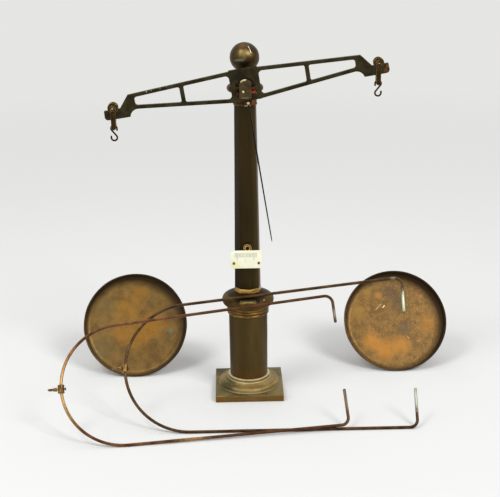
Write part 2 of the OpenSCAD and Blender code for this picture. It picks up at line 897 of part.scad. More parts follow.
// Index bracket
index_spigot_r = 6;
index_screw_r = 2.6;
z_index = z_fillet + index_rise;
index_corner = upper_r - (upper_r - upper_top_r) * (index_rise - fillet_h) / upper_h;
index_back = index_corner + 0.3;
index_seat = index_corner * cos(22.5) - 2.2;
strap_t = 3;
strap_front = index_back + strap_t;
pad_h = 1.6;
plate_back = strap_front + pad_h;
z_index_top = z_index - index_below;
z_index_screw = z_index_top - index_h + 8.2;
index_screw_shank = 1.1;

// Eye with a raised ring, stem and cross strap with two pads for the plate
module index_bracket() {
    color([0.66, 0.48, 0.20])
    difference() {
        union() {
            translate([0, 0, z_index]) {
                rod_y(index_spigot_r, -index_back - e, -index_seat - fit);
                rod_y(index_eye_r, -strap_front, -index_back);
                rod_y(index_eye_r - 2.2, -strap_front - 1.2, -strap_front + e);
            }
            translate([-4, -strap_front, z_index_screw - 4])
                cube([8, strap_t, z_index - z_index_screw]);
            translate([-index_screw_gap / 2 - 3.2 - index_shift, -strap_front, z_index_screw - 4])
                cube([index_screw_gap + 6.4, strap_t, 8]);
            for (s = [-1, 1])
                translate([s * index_screw_gap / 2 - index_shift, 0, z_index_screw])
                    rod_y(3, -plate_back, -strap_front + e);
        }
        translate([0, 0, z_index])
            rod_y(index_screw_r + fit, -strap_front - 5, 0);
        for (s = [-1, 1])
            translate([s * index_screw_gap / 2 - index_shift, 0, z_index_screw])
                rod_y(index_screw_shank + fit, -plate_back - 1, -index_back + 1);
    }
}

module index_bracket_screw() {
    color([0.20, 0.12, 0.06])
    translate([0, 0, z_index])
        rod_y(index_screw_r, -strap_front - 0.5, -upper_bore - 0.5);
}

// White plate with one rounded corner
module index_plate() {
    r = 4;
    color([0.93, 0.92, 0.80])
    difference() {
        translate([-index_shift, -plate_back, z_index_top - index_h])
            rotate([90, 0, 0])
                linear_extrude(height = index_t)
                    difference() {
                        translate([-index_w / 2, 0])
                            square([index_w, index_h]);
                        translate([-index_w / 2, index_h])
                            difference() {
                                translate([-1, -r])
                                    square([r + 1, r + 1]);
                                translate([r, -r])
                                    circle(r = r);
                            }
                    }
        for (s = [-1, 1])
            translate([s * index_screw_gap / 2 - index_shift, 0, z_index_screw])
                rod_y(index_screw_shank + fit, -plate_back - index_t - 1, -plate_back + 1);
    }
}

module index_plate_screws() {
    color([0.18, 0.17, 0.10])
    for (s = [-1, 1])
        translate([s * index_screw_gap / 2 - index_shift, 0, z_index_screw])
            union() {
                rod_y(index_screw_shank, -plate_back - index_t - e, -index_back);
                rod_y(2, -plate_back - index_t - 0.8, -plate_back - index_t);
            }
}

// Stands a bow's plane on the floor: x along its foot, y up the lean
module stand_bow(r, x, y, yaw, rise, lean) {
    translate([-x, y, wire_r])
        rotate([0, 0, yaw])
            rotate([lean, 0, 0])
                translate([0, r, 0])
                    rotate([0, 0, rise])
                        translate([0, -r, 0])
                            children();
}

// Bent wire in its own plane: lower leg, round end, upper leg that opens, two inward prongs
// The round end is pierced for the swivel.
module bow_wire(r, leg, top_leg, open, low_prong, top_prong) {
    start = [r * cos(90 + open), r + r * sin(90 + open)];
    cut = bend_r * tan((90 + open) / 2);
    bend_at = start + (top_leg - cut) * [cos(open), sin(open)];
    mid = bend_at + bend_r * [sin(open), -cos(open)];
    corner_v = start[1] + top_leg * sin(open);
    union() {
        translate([leg, 0, 0]) {
            rod_y(wire_r, bend_r, low_prong - wire_bevel + e);
            translate([0, low_prong - wire_bevel, 0])
                rotate([-90, 0, 0])
                    wire_end(wire_r);
        }
        translate([leg - bend_r, bend_r, 0])
            wire_ring(bend_r, wire_r, -90, 90);
        rotate([0, 90, 0])
            cylinder(r = wire_r, h = leg - bend_r);
        difference() {
            translate([0, r, 0])
                wire_ring(r, wire_r, 90 + open, 180 - open);
            swivel_hole(r);
        }
        translate([start[0], start[1], 0])
            rotate([0, 0, open])
                rotate([0, 90, 0])
                    cylinder(r = wire_r, h = top_leg - cut);
        translate([mid[0], mid[1], 0])
            wire_ring(bend_r, wire_r, 0, 90 + open);
        translate([mid[0] + bend_r, 0, 0]) {
            rod_y(wire_r, corner_v - top_prong + wire_bevel - e, mid[1]);
            translate([0, corner_v - top_prong + wire_bevel, 0])
                rotate([90, 0, 0])
                    wire_end(wire_r);
        }
    }
}

// Hole for the swivel's pin through the round end
module swivel_hole(r) {
    translate([-r - 2 * barrel_r, r, 0])
        rotate([0, 90, 0])
            cylinder(r = swivel_r + fit, h = 4 * barrel_r);
}

// Barrel round the wire at the bow's round end
module bow_block(r) {
    difference() {
        translate([-r, r, 0])
            rod_y(barrel_r, -barrel_l / 2, barrel_l / 2);
        translate([0, r, 0])
            wire_ring(r, wire_r + bend_thin + fit, 135, 90);
        swivel_hole(r);
    }
}

// Swivel: pin through barrel and wire, head inside, collar and neck outside and the eye
module bow_eye(r) {
    out = barrel_r + gap + stud_l + bow_eye_r + bow_eye_w - 0.8;
    translate([-r, r, 0])
        difference() {
            union() {
                translate([-barrel_r - 1, 0, 0])
                    rotate([0, 90, 0])
                        cylinder(r = swivel_r, h = 2 * barrel_r + 2);
                translate([barrel_r + gap, 0, 0])
                    rotate([0, 90, 0])
                        cylinder(r = 2 * swivel_r, h = 1.2);
                translate([-barrel_r - gap, 0, 0])
                    rotate([0, -90, 0])
                        cylinder(r = stud_r, h = 1.6);
                translate([-barrel_r - gap, 0, 0])
                    rotate([0, -90, 0])
                        cylinder(r = stud_r - 0.7, h = stud_l);
                translate([-out, 0, 0])
                    rod_y(bow_eye_r + bow_eye_w, -bow_eye_t / 2, bow_eye_t / 2);
            }
            translate([-out, 0, 0])
                rod_y(bow_eye_r, -10, 10);
        }
}

module stand_front() {
    stand_bow(front_r, front_x, front_y, front_yaw, front_rise, front_lean)
        children();
}

module stand_rear() {
    stand_bow(rear_r, rear_x, rear_y, 0, 0, rear_lean)
        children();
}

// Stands a pan on the lower edge of its wall: x to the right, y up the lean, z out of its open side
module stand_pan(x, lean) {
    on_rim = (pan_r - rim_r) * cos(lean) + rim_r;
    on_wall = pan_floor * cos(lean) - pan_t / 2 * sin(lean) + pan_bend + pan_t / 2;
    translate([x, pan_back + (pan_r - rim_r) * sin(lean), max(on_rim, on_wall)])
        rotate([90 - lean, 0, 0])
            translate([0, 0, -pan_depth + rim_r])
                children();
}

// Shallow dish of sheet metal: flat floor, round wall and rolled rim
module pan() {
    rotate_extrude()
        union() {
            square([pan_floor + e, pan_t]);
            translate([pan_floor, pan_bend + pan_t / 2])
                intersection() {
                    difference() {
                        circle(r = pan_bend + pan_t / 2);
                        circle(r = pan_bend - pan_t / 2);
                    }
                    translate([0, -2 * pan_depth])
                        square([2 * pan_depth, 2 * pan_depth - pan_t / 2]);
                }
            translate([pan_r - rim_r, pan_depth - rim_r])
                circle(r = rim_r);
        }
}

// Two bored blocks under the floor, in line, for a bow's two prongs
module pan_sockets() {
    wide = 2 * socket_bore + 3;
    for (s = [0, 180])
        rotate([0, 0, s])
            difference() {
                translate([socket_out - socket_l, -wide / 2, -socket_bore - wire_r - 1])
                    cube([socket_l, wide, socket_bore + wire_r + 1]);
                translate([socket_out - socket_l - 1, 0, -socket_bore - 0.8])
                    rotate([0, 90, 0])
                        cylinder(r = socket_bore, h = socket_l + 2);
            }
}

module bow_front() {
    color([0.50, 0.32, 0.20])
    stand_front()
        bow_wire(front_r, front_leg, front_top_leg, front_open, front_prong, front_top_prong);
}

module bow_front_block() {
    color([0.46, 0.30, 0.14])
    stand_front()
        bow_block(front_r);
}

module bow_front_eye() {
    color([0.34, 0.27, 0.15])
    stand_front()
        bow_eye(front_r);
}

module bow_rear() {
    color([0.38, 0.25, 0.15])
    stand_rear()
        bow_wire(rear_r, rear_leg, rear_top_leg, rear_open, rear_prong, rear_top_prong);
}

module bow_rear_block() {
    color([0.46, 0.34, 0.20])
    stand_rear()
        bow_block(rear_r);
}

module bow_rear_eye() {
    color([0.34, 0.27, 0.15])
    stand_rear()
        bow_eye(rear_r);
}

module pan_left() {
    color([0.52, 0.38, 0.17])
    stand_pan(-left_x, left_lean)
        pan();
}

module pan_left_sockets() {
    color([0.40, 0.30, 0.16])
    stand_pan(-left_x, left_lean)
        pan_sockets();
}

module pan_right() {
    color([0.55, 0.40, 0.18])
    stand_pan(right_x, right_lean)
        pan();
}

module pan_right_sockets() {
    color([0.40, 0.30, 0.16])
    stand_pan(right_x, right_lean)
        pan_sockets();
}

base_plate();
base_moulding();
lower_column();
column_astragal();
collar_flange();
collar_fillet();
upper_column();
capital_ring();
ball_finial();
tie_rod();
bearing_arm();
centre_bearing();
front_cheek();
cheek_screws();
index_bracket();
index_bracket_screw();
index_plate();
index_plate_screws();
beam();
centre_knife();
end_knives();
needle_holder();
needle_screw();
needle();
stirrup(-1);  // stirrup_left
stirrup_bearings(-1);  // stirrup_bearings_left
stirrup_pin(-1);  // stirrup_pin_left
hook(-1);  // hook_left
stirrup(1);  // stirrup_right
stirrup_bearings(1);  // stirrup_bearings_right
stirrup_pin(1);  // stirrup_pin_right
hook(1);  // hook_right
bow_front();
bow_front_block();
bow_front_eye();
bow_rear();
bow_rear_block();
bow_rear_eye();
pan_left();
pan_left_sockets();
pan_right();
pan_right_sockets();
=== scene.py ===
# %% [markdown]
# # An apothecary scale
# A brass counter scale: a turned foot, a round and an eight-sided column, an openwork beam that rocks on
# a knife edge in front of the column, two bent wire bows that lean on the collar and two loose pans.
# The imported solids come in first. They give every size and place. The solids have sharp, new edges, so
# here each visible piece is made again as a worn old one: rounded edges, dents, slotted screws, patina.

# %% Load the solids
import json
import math
import bpy
from mathutils import Matrix, Vector


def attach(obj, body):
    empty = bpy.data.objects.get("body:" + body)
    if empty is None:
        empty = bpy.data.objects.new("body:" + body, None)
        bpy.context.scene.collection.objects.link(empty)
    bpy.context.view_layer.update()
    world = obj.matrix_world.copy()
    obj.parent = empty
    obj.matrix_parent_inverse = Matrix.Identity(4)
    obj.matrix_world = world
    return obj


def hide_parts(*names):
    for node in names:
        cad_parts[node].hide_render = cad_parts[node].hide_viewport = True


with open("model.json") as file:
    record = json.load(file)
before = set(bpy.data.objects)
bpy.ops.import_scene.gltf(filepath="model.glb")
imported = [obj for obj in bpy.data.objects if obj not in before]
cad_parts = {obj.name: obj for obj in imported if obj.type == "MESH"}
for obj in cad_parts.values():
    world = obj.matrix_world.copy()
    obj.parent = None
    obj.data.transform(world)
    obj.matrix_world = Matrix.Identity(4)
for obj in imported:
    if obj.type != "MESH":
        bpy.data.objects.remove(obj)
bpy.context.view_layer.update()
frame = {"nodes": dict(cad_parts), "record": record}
solids = frame["nodes"]

# %% [markdown]
# ## Camera
# The photograph was taken from above and a little from the left of the column, with a long lens. The
# camera's place and turns come from the measured picture: pitch down, a small yaw and a small roll.
# A matrix is built from the three axes, because that says exactly what each angle does. Sizes and places
# are typed in millimetres, as on a drawing, and MM makes them the metres that Blender works in.

# %% Camera
MM = 0.001
CAMERA_PLACE = Vector((-26.317, -1691.898, 800.339)) * MM
PITCH, YAW, ROLL = 0.3267, -0.018, -0.0135

ahead = Vector((-math.sin(YAW) * math.cos(PITCH), math.cos(YAW) * math.cos(PITCH), -math.sin(PITCH)))
level = Vector((math.cos(YAW), math.sin(YAW), 0.0))
above = level.cross(ahead)
cam_x = math.cos(ROLL) * level + math.sin(ROLL) * above
cam_y = -math.sin(ROLL) * level + math.cos(ROLL) * above
camera_data = bpy.data.cameras.new("camera")
camera_data.lens, camera_data.sensor_width = 86.4, 36.0
camera_data.sensor_fit = "HORIZONTAL"
camera_data.clip_end = 20.0
camera = bpy.data.objects.new("camera", camera_data)
bpy.context.scene.collection.objects.link(camera)
turns = Matrix((cam_x, cam_y, -ahead)).transposed()
camera.matrix_world = Matrix.Translation(CAMERA_PLACE) @ turns.to_4x4()
bpy.context.scene.camera = camera
bpy.context.scene.view_settings.view_transform = "Standard"
print("camera looks along", [round(v, 3) for v in ahead])

# %% [markdown]
# ## Patina
# Old brass isn't one colour. Under a thin brown patina there are rubbed bright places, darker pits and
# a fine grain that breaks up the gloss. All of it is built from noise on Object coordinates, because
# such a pattern stays on a piece wherever it is turned. The first helpers add single nodes: a noise, a
# ramp that picks a range of it, a sum, and a blend of two colours.

# %% Node helpers
def linear(rgb):
    """Colour written as on the screen, given back as the shader needs it."""
    return [c / 12.92 if c <= 0.04045 else ((c + 0.055) / 1.055) ** 2.4 for c in rgb]


def new_material(name):
    material = bpy.data.materials.new(name)
    material.use_nodes = True
    return material, material.node_tree, material.node_tree.nodes["Principled BSDF"]


def maths(tree, operation, *values, vector=False):
    """A maths node. Each value is a number, a vector or the output of another node."""
    node = tree.nodes.new("ShaderNodeVectorMath" if vector else "ShaderNodeMath")
    node.operation = operation
    for socket, value in zip(node.inputs, values):
        if isinstance(value, bpy.types.NodeSocket):
            tree.links.new(value, socket)
        else:
            socket.default_value = value
    return node.outputs["Value" if operation in ("DISTANCE", "LENGTH") else 0]


def noise(tree, coords, scale, detail, rough, stretch=None):
    node = tree.nodes.new("ShaderNodeTexNoise")
    node.inputs["Scale"].default_value = scale
    node.inputs["Detail"].default_value = detail
    node.inputs["Roughness"].default_value = rough
    if stretch:
        mapping = tree.nodes.new("ShaderNodeMapping")
        mapping.vector_type = "TEXTURE"
        mapping.inputs["Scale"].default_value = [1.0 / s for s in stretch]
        tree.links.new(coords, mapping.inputs["Vector"])
        coords = mapping.outputs["Vector"]
    tree.links.new(coords, node.inputs["Vector"])
    return node.outputs["Fac"]


def ramp(tree, value, low, high, out_low=0.0, out_high=1.0):
    node = tree.nodes.new("ShaderNodeMapRange")
    for socket, number in zip(("From Min", "From Max", "To Min", "To Max"), (low, high, out_low, out_high)):
        node.inputs[socket].default_value = number
    tree.links.new(value, node.inputs["Value"])
    return node.outputs["Result"]


def blend_colour(tree, factor, first, second):
    node = tree.nodes.new("ShaderNodeMix")
    node.data_type = "RGBA"
    for socket, value in ((node.inputs[6], first), (node.inputs[7], second)):
        if isinstance(value, (list, tuple)):
            socket.default_value = (*linear(value), 1.0)
        else:
            tree.links.new(value, socket)
    tree.links.new(factor, node.inputs[0])
    return node.outputs[2]


# %% [markdown]
# Some marks have a place of their own: rust on one corner, a scratch, a painted highlight on the ball, the painted
# shade on the dull upper side of a flange.
# They could be painted on an image. Here each one is a simple shape in space, measured in the
# piece's own coordinates, so that its place can be written down: a ball round a point, a thin rod
# between two points, or all that lies past a plane. The noise frays its edge.

# %% Marks
def round_spot(tree, coords, centre, radius, ragged):
    """1 inside a ball round the point, 0 outside it, with an edge that the ragged noise frays."""
    away = maths(tree, "DISTANCE", coords, Vector(centre) * MM, vector=True)
    frayed = maths(tree, "MULTIPLY_ADD", ragged, radius * MM * 1.6, away)
    return ramp(tree, frayed, radius * MM * 1.15, radius * MM * 1.95, 1.0, 0.0)


def line_spot(tree, coords, start, end, width):
    """1 on a straight line from one point to another, 0 beside it and past its ends. It draws scratches, and also
    thin painted highlights and painted reflections.
    """
    start, end = Vector(start) * MM, Vector(end) * MM
    length = (end - start).length
    along = maths(tree, "SUBTRACT", coords, (start + end) / 2, vector=True)
    across = maths(tree, "CROSS_PRODUCT", along, (end - start).normalized(), vector=True)
    limits = ((across, 0.5 * width * MM, width * MM), (along, 0.45 * length, 0.5 * length))
    inside = [ramp(tree, maths(tree, "LENGTH", offset, vector=True), low, high, 1.0, 0.0)
              for offset, low, high in limits]
    return maths(tree, "MULTIPLY", *inside)


def band(tree, coords, axis, start, full, ragged):
    """0 up to a plane across one axis, 1 from a second plane on, with a ragged edge."""
    split = tree.nodes.new("ShaderNodeSeparateXYZ")
    tree.links.new(coords, split.inputs[0])
    frayed = maths(tree, "MULTIPLY_ADD", ragged, (full - start) * MM, split.outputs[axis])
    return ramp(tree, frayed, (start + full) / 2 * MM, (1.5 * full - 0.5 * start) * MM + 1e-6)


# %% [markdown]
# One helper builds every finish. Broad clouds choose between two tones, a finer noise lets the bright
# metal through, the marks follow, painted highlights, reflections and shade among them, and a speckle darkens it
# all.
# Roughness and bump follow the fine noise, so that a rubbed place is also a smoother one.

# %% Aged brass
FINISH = {}


def aged_brass(name, dark, warm, bright, cloud=60.0, wear=0.35, rough=(0.28, 0.5), metal=0.85, shine=0.5,
               grain=0.25, pits=0.5, share=(0.38, 0.62), stretch=None, stains_and_painted_light=(), bands_and_painted_light=(), scratches_and_painted_light=(),
               rim_shade=None, slot=None):
    """Patina from dark to warm in broad clouds, with a share of bright rubbed metal in it. Each stain, painted
    spot of light and painted spot of shade is (colour, point, radius, strength) in millimetres, each band of
    colour, painted light and painted shade is (colour, axis, start, full, strength), with 0, 1 or 2 for X, Y or Z,
    and each scratch, thin painted highlight and thin painted reflection is (colour, start, end, width). The rim
    shade, a painted shade that darkens towards a rim, is (colour, point, inner radius, outer radius, strength).
    The finish is kept under the record's slot, or under its own name where only this script uses it."""
    material, tree, shader = new_material(name)
    coords = tree.nodes.new("ShaderNodeTexCoord").outputs["Object"]
    clouds = noise(tree, coords, cloud, 5.0, 0.6, stretch)
    rubs = noise(tree, coords, cloud * 3.7, 6.0, 0.65, stretch)
    specks = noise(tree, coords, cloud * 22.0, 2.0, 0.5)
    tone = blend_colour(tree, ramp(tree, clouds, *share), dark, warm)
    rubbed = ramp(tree, rubs, 0.80 - wear * 0.5, 0.92 - wear * 0.4)
    tone = blend_colour(tree, rubbed, tone, bright)
    marks = [(colour, round_spot(tree, coords, point, radius, rubs), strength)
             for colour, point, radius, strength in stains_and_painted_light]
    marks += [(colour, band(tree, coords, axis, low, full, rubs), strength)
              for colour, axis, low, full, strength in bands_and_painted_light]
    if rim_shade:
        colour, point, inner, outer, strength = rim_shade
        away = maths(tree, "DISTANCE", coords, Vector(point) * MM, vector=True)
        marks.append((colour, ramp(tree, away, inner * MM, outer * MM), strength))
    marks += [(colour, line_spot(tree, coords, low, high, width), 0.9) for colour, low, high, width in scratches_and_painted_light]
    for colour, covered, strength in marks:
        tone = blend_colour(tree, maths(tree, "MULTIPLY", covered, strength), tone, colour)
    pitted = ramp(tree, specks, 0.62, 0.72, 0.0, pits)
    tone = blend_colour(tree, pitted, tone, [c * 0.45 for c in dark])
    tree.links.new(tone, shader.inputs["Base Color"])
    shader.inputs["Metallic"].default_value = metal
    shader.inputs["Specular IOR Level"].default_value = shine
    tree.links.new(ramp(tree, rubs, 0.3, 0.7, rough[1], rough[0]), shader.inputs["Roughness"])
    bump = tree.nodes.new("ShaderNodeBump")
    bump.inputs["Strength"].default_value = grain
    bump.inputs["Distance"].default_value = 0.0004
    tree.links.new(rubs, bump.inputs["Height"])
    tree.links.new(bump.outputs["Normal"], shader.inputs["Normal"])
    FINISH[slot or name] = material
    print("finish:", name)


# %% [markdown]
# The colours are read off the photograph. The foot is pale gold, with orange where the lacquer has gone and
# painted shade on the back left of the plate, behind the column. The moulding has painted shade on its front left
# and painted highlights as pale lines at its foot and on its thin rings. The lower column is olive brown, with
# painted shade on its left side. The flange is dull, with painted shade on its sloping upper side and on its left,
# and its front has painted reflections and highlights: dark grey spots, a pale lens and two bright glints.

# %% Foot, lower column and collar
# Painted shade: the dark stain on the back left of the plate, behind the column.
aged_brass(
    "plate brass", (0.36, 0.32, 0.18), (0.50, 0.43, 0.26), (0.64, 0.56, 0.35), 34, wear=0.30, metal=0.5,
    rough=(0.36, 0.55), shine=0.2, bands_and_painted_light=[((0.44, 0.31, 0.13), 1, -51.0, -51.4, 0.7)],
    stains_and_painted_light=[((0.58, 0.29, 0.08), (-46, -53, 3), 8, 0.85), ((0.52, 0.28, 0.09), (49, -52, 6), 8, 0.85),
            ((0.22, 0.20, 0.10), (-42, 44, 10), 26, 0.8)], slot="aged_brass_plate")
# Painted highlights: the pale bands at the foot, at 22 mm and on the top ring, with a darker band between the
# upper two. Painted shade: the dark stain on the front left.
aged_brass(
    "turned brass", (0.50, 0.42, 0.245), (0.63, 0.53, 0.315), (0.76, 0.67, 0.44), 38, wear=0.35, metal=0.5,
    rough=(0.38, 0.55), shine=0.25, stretch=(1, 1, 3),
    bands_and_painted_light=[((0.62, 0.60, 0.50), 2, 11.5, 11.3, 0.6), ((0.82, 0.76, 0.57), 2, 21.6, 21.7, 0.7),
           ((0.50, 0.42, 0.25), 2, 22.1, 22.2, 0.9), ((0.88, 0.83, 0.65), 2, 25.8, 25.9, 0.8)],
    stains_and_painted_light=[((0.25, 0.24, 0.13), (-34, -26, 15), 22, 0.85)], slot="aged_brass_turned")
# Painted shade: the darker band on the left side.
aged_brass(
    "lower brass", (0.235, 0.18, 0.085), (0.335, 0.27, 0.14), (0.43, 0.35, 0.19), 40, wear=0.22,
    metal=0.5, rough=(0.34, 0.5), stretch=(1, 1, 0.2), pits=0.25, share=(0.30, 0.70), shine=0.1,
    bands_and_painted_light=[((0.40, 0.26, 0.09), 2, 48, 30, 0.5), ((0.22, 0.165, 0.08), 0, -14, -28, 0.5)])
aged_brass(
    "bead brass", (0.31, 0.23, 0.11), (0.52, 0.39, 0.19), (0.82, 0.68, 0.37), 50, wear=0.33, metal=0.75,
    rough=(0.25, 0.42), shine=0.2)
# Painted shade: the dark band on the sloping top and the dark stain on the left. Painted reflections and
# highlights on the front: the dark grey spots, the grey middle spot, the pale lens of two lines and two bright
# glints at the ends.
aged_brass(
    "flange brass", (0.26, 0.195, 0.085), (0.38, 0.295, 0.14), (0.56, 0.46, 0.24), 40, wear=0.28, metal=0.75,
    rough=(0.42, 0.56), shine=0.05, bands_and_painted_light=[((0.14, 0.09, 0.035), 2, 155.4, 157, 0.9)],
    stains_and_painted_light=[((0.12, 0.11, 0.09), (-15, -32, 154), 6, 0.85), ((0.14, 0.13, 0.12), (14, -32, 154), 6, 0.85),
            ((0.24, 0.20, 0.14), (0, -34, 154), 9, 0.7), ((0.16, 0.13, 0.07), (-30, -20, 150), 12, 0.5)],
    scratches_and_painted_light=[((0.40, 0.36, 0.22), (-13, -33.4, 153.5), (12, -33.4, 153.8), 3.2),
               ((0.60, 0.55, 0.33), (-8, -34.6, 153.4), (7, -34.6, 153.7), 1.7),
               ((0.88, 0.83, 0.66), (21, -28.6, 152.4), (25, -24.6, 155.4), 1.0),
               ((0.74, 0.73, 0.62), (-17, -31.6, 151.2), (-9, -34.8, 150.4), 0.9)])

# %% [markdown]
# The upper column has painted shade on its left faces and painted light on its right ones. The ring at its foot is
# bright from handling. The capital is red brown, darkened as painted shade where it stands behind the hub, with
# orange and red rubbed spots, painted highlights on its right end and on the lip at its foot, and a painted pink
# reflection beside the cheek. The ball is a smooth dark mirror with two painted highlights and warm painted
# reflections on its top and right, and its long grey painted reflection and a thin light line follow its curve as
# chains of short straight lines.

# %% Upper column, capital and ball
# Painted shade: the dark band on the left faces. Painted light: the lighter band on the right faces.
aged_brass(
    "column brass", (0.165, 0.125, 0.055), (0.235, 0.19, 0.095), (0.32, 0.27, 0.155), 40, wear=0.22,
    metal=0.5, rough=(0.34, 0.5), stretch=(1, 1, 0.12), pits=0.25, share=(0.30, 0.70), shine=0.08,
    bands_and_painted_light=[((0.12, 0.08, 0.03), 0, -8, -17, 0.8), ((0.31, 0.24, 0.13), 0, 7, 16, 0.7)], slot="brown_brass")
aged_brass(
    "fillet brass", (0.48, 0.36, 0.15), (0.70, 0.56, 0.29), (0.94, 0.84, 0.58), 30, wear=0.38, metal=0.8,
    rough=(0.25, 0.4), grain=0.05, pits=0.1, share=(0.42, 0.58))
# The red brown is darkened as painted shade. Painted highlights: the pale spot on the right end and the light line
# on the lip. Painted reflection: the pink line beside the cheek.
aged_brass(
    "red brass", (0.15, 0.09, 0.04), (0.27, 0.155, 0.06), (0.50, 0.29, 0.09), 70, wear=0.25, metal=0.6, shine=0.15,
    stains_and_painted_light=[((0.60, 0.33, 0.09), (-26, -6, 466), 7, 0.8), ((0.42, 0.12, 0.05), (-11.5, -12, 462.4), 4, 0.8),
            ((0.92, 0.86, 0.55), (22.5, -13.5, 464.5), 3, 0.9), ((0.50, 0.15, 0.06), (10, -24, 470.5), 4.5, 0.8),
            ((0.52, 0.29, 0.07), (12, -12.4, 449.5), 5.5, 0.85)],
    scratches_and_painted_light=[((0.74, 0.35, 0.21), (4.5, -25.4, 467.4), (15, -22, 467.2), 2.8),
               ((0.90, 0.84, 0.64), (-1.5, -17.5, 446.1), (7.5, -15.9, 446.7), 1.5)], slot="red_brass")
# Painted highlights: the two pale spots in front. Painted reflections: the warm spots on the top and the right,
# and the grey lens of three short lines low on the left.
aged_brass(
    "ball brass", (0.19, 0.155, 0.075), (0.27, 0.22, 0.115), (0.37, 0.30, 0.17), 30, wear=0.25, metal=0.85,
    rough=(0.34, 0.44), grain=0.05, pits=0.15, share=(0.3, 0.7), shine=0.2,
    stains_and_painted_light=[((0.40, 0.28, 0.13), (-4, -10, 529), 7, 0.5), ((0.37, 0.24, 0.11), (16, -13, 514), 6, 0.6),
            ((0.46, 0.39, 0.24), (9, -17, 519), 4.5, 0.6), ((0.57, 0.49, 0.31), (-1, -19.5, 520.5), 7.5, 0.85)],
    scratches_and_painted_light=[((0.40, 0.40, 0.34), (-15.4, -14.3, 510.4), (-10.6, -18.2, 511.2), 1.7),
               ((0.42, 0.42, 0.36), (-12, -17.3, 511.1), (-6.2, -20.1, 511.8), 2.5),
               ((0.42, 0.42, 0.36), (-7.4, -19.7, 511.8), (-0.6, -21, 512.3), 2.4),
               ((0.98, 0.90, 0.78), (5, -11.2, 530), (7.1, -14.4, 525.6), 0.7),
               ((0.98, 0.90, 0.78), (7, -14.5, 526), (9.1, -16.9, 521.2), 0.6)], slot="ball_brass")

# %% [markdown]
# The beam is a dull brown green with white specks on its left arm. What is touched or slides, such as
# stirrups, bearings, screws and barrels, is browner or brighter than the parts that nobody touches.

# %% Beam, stirrups and fittings
aged_brass(
    "beam brass", (0.135, 0.115, 0.06), (0.23, 0.205, 0.12), (0.33, 0.29, 0.18), 60, wear=0.3, metal=0.55,
    rough=(0.3, 0.46), pits=0.3, shine=0.15,
    stains_and_painted_light=[((0.46, 0.25, 0.08), (196, -35, 497), 4, 0.7), ((0.56, 0.31, 0.09), (199, -35, 503), 2.8, 0.8),
            ((0.17, 0.10, 0.05), (-190, -35, 440), 6, 0.7)]
    + [((0.78, 0.74, 0.66), (x, -35.5, 480.4 + 0.25 * (x + 107)), size, 0.85)
       for x, size in ((-138, 1.1), (-131, 0.8), (-119, 1.0), (-110, 0.8), (-97, 1.1), (-88, 0.7))],
    slot="beam_brass")
aged_brass(
    "dark edge", (0.20, 0.15, 0.08), (0.32, 0.24, 0.13), (0.66, 0.56, 0.38), 80, wear=0.35, metal=0.8,
    rough=(0.22, 0.38), shine=0.2)
aged_brass(
    "worn edge", (0.40, 0.32, 0.18), (0.60, 0.50, 0.29), (0.86, 0.76, 0.50), 110, wear=0.5, metal=0.9,
    rough=(0.2, 0.35))
aged_brass(
    "dark brass", (0.15, 0.105, 0.05), (0.27, 0.19, 0.09), (0.46, 0.34, 0.17), 90, metal=0.7, shine=0.15,
    slot="aged_brass_dark")
# Painted highlights: the pale lines on the arched top and the thin one along the lower edge.
aged_brass(
    "cheek brass", (0.225, 0.185, 0.115), (0.32, 0.265, 0.175), (0.41, 0.35, 0.24), 120, metal=0.6, shine=0.2,
    scratches_and_painted_light=[((0.86, 0.79, 0.62), (-7.2, -41, 484.6), (-3.4, -41, 488), 1.7),
               ((0.90, 0.84, 0.68), (-4.6, -41, 487.6), (1.2, -41, 488.3), 2.0),
               ((0.52, 0.44, 0.34), (-6, -41, 462.3), (5, -41, 462.0), 0.8)])
aged_brass(
    "bright brass", (0.52, 0.42, 0.22), (0.74, 0.62, 0.38), (0.95, 0.88, 0.66), 90, metal=0.9,
    rough=(0.2, 0.38), slot="bright_brass")
aged_brass(
    "bearing brass", (0.22, 0.16, 0.07), (0.46, 0.38, 0.17), (0.78, 0.70, 0.42), 220, wear=0.3, metal=0.85,
    rough=(0.2, 0.35), shine=0.2)
aged_brass(
    "cream screw", (0.70, 0.64, 0.46), (0.84, 0.79, 0.60), (0.92, 0.88, 0.72), 200, metal=0.4, shine=0.3)
aged_brass(
    "hook copper", (0.13, 0.07, 0.03), (0.24, 0.14, 0.06), (0.78, 0.60, 0.38), 150, wear=0.32, metal=0.85,
    rough=(0.2, 0.35), shine=0.15, slot="hook_copper")
aged_brass(
    "knife steel", (0.22, 0.20, 0.17), (0.36, 0.33, 0.29), (0.62, 0.59, 0.54), 120, metal=0.95, slot="steel")
aged_brass(
    "bearing stone", (0.26, 0.06, 0.04), (0.42, 0.12, 0.07), (0.60, 0.2, 0.12), 120, metal=0.0,
    slot="bearing_stone")

# %% [markdown]
# The index plate is nearly white, with a yellow corner. Some of its ticks have faded, so there are two inks.
# The rings of the eye above it are rubbed bright.

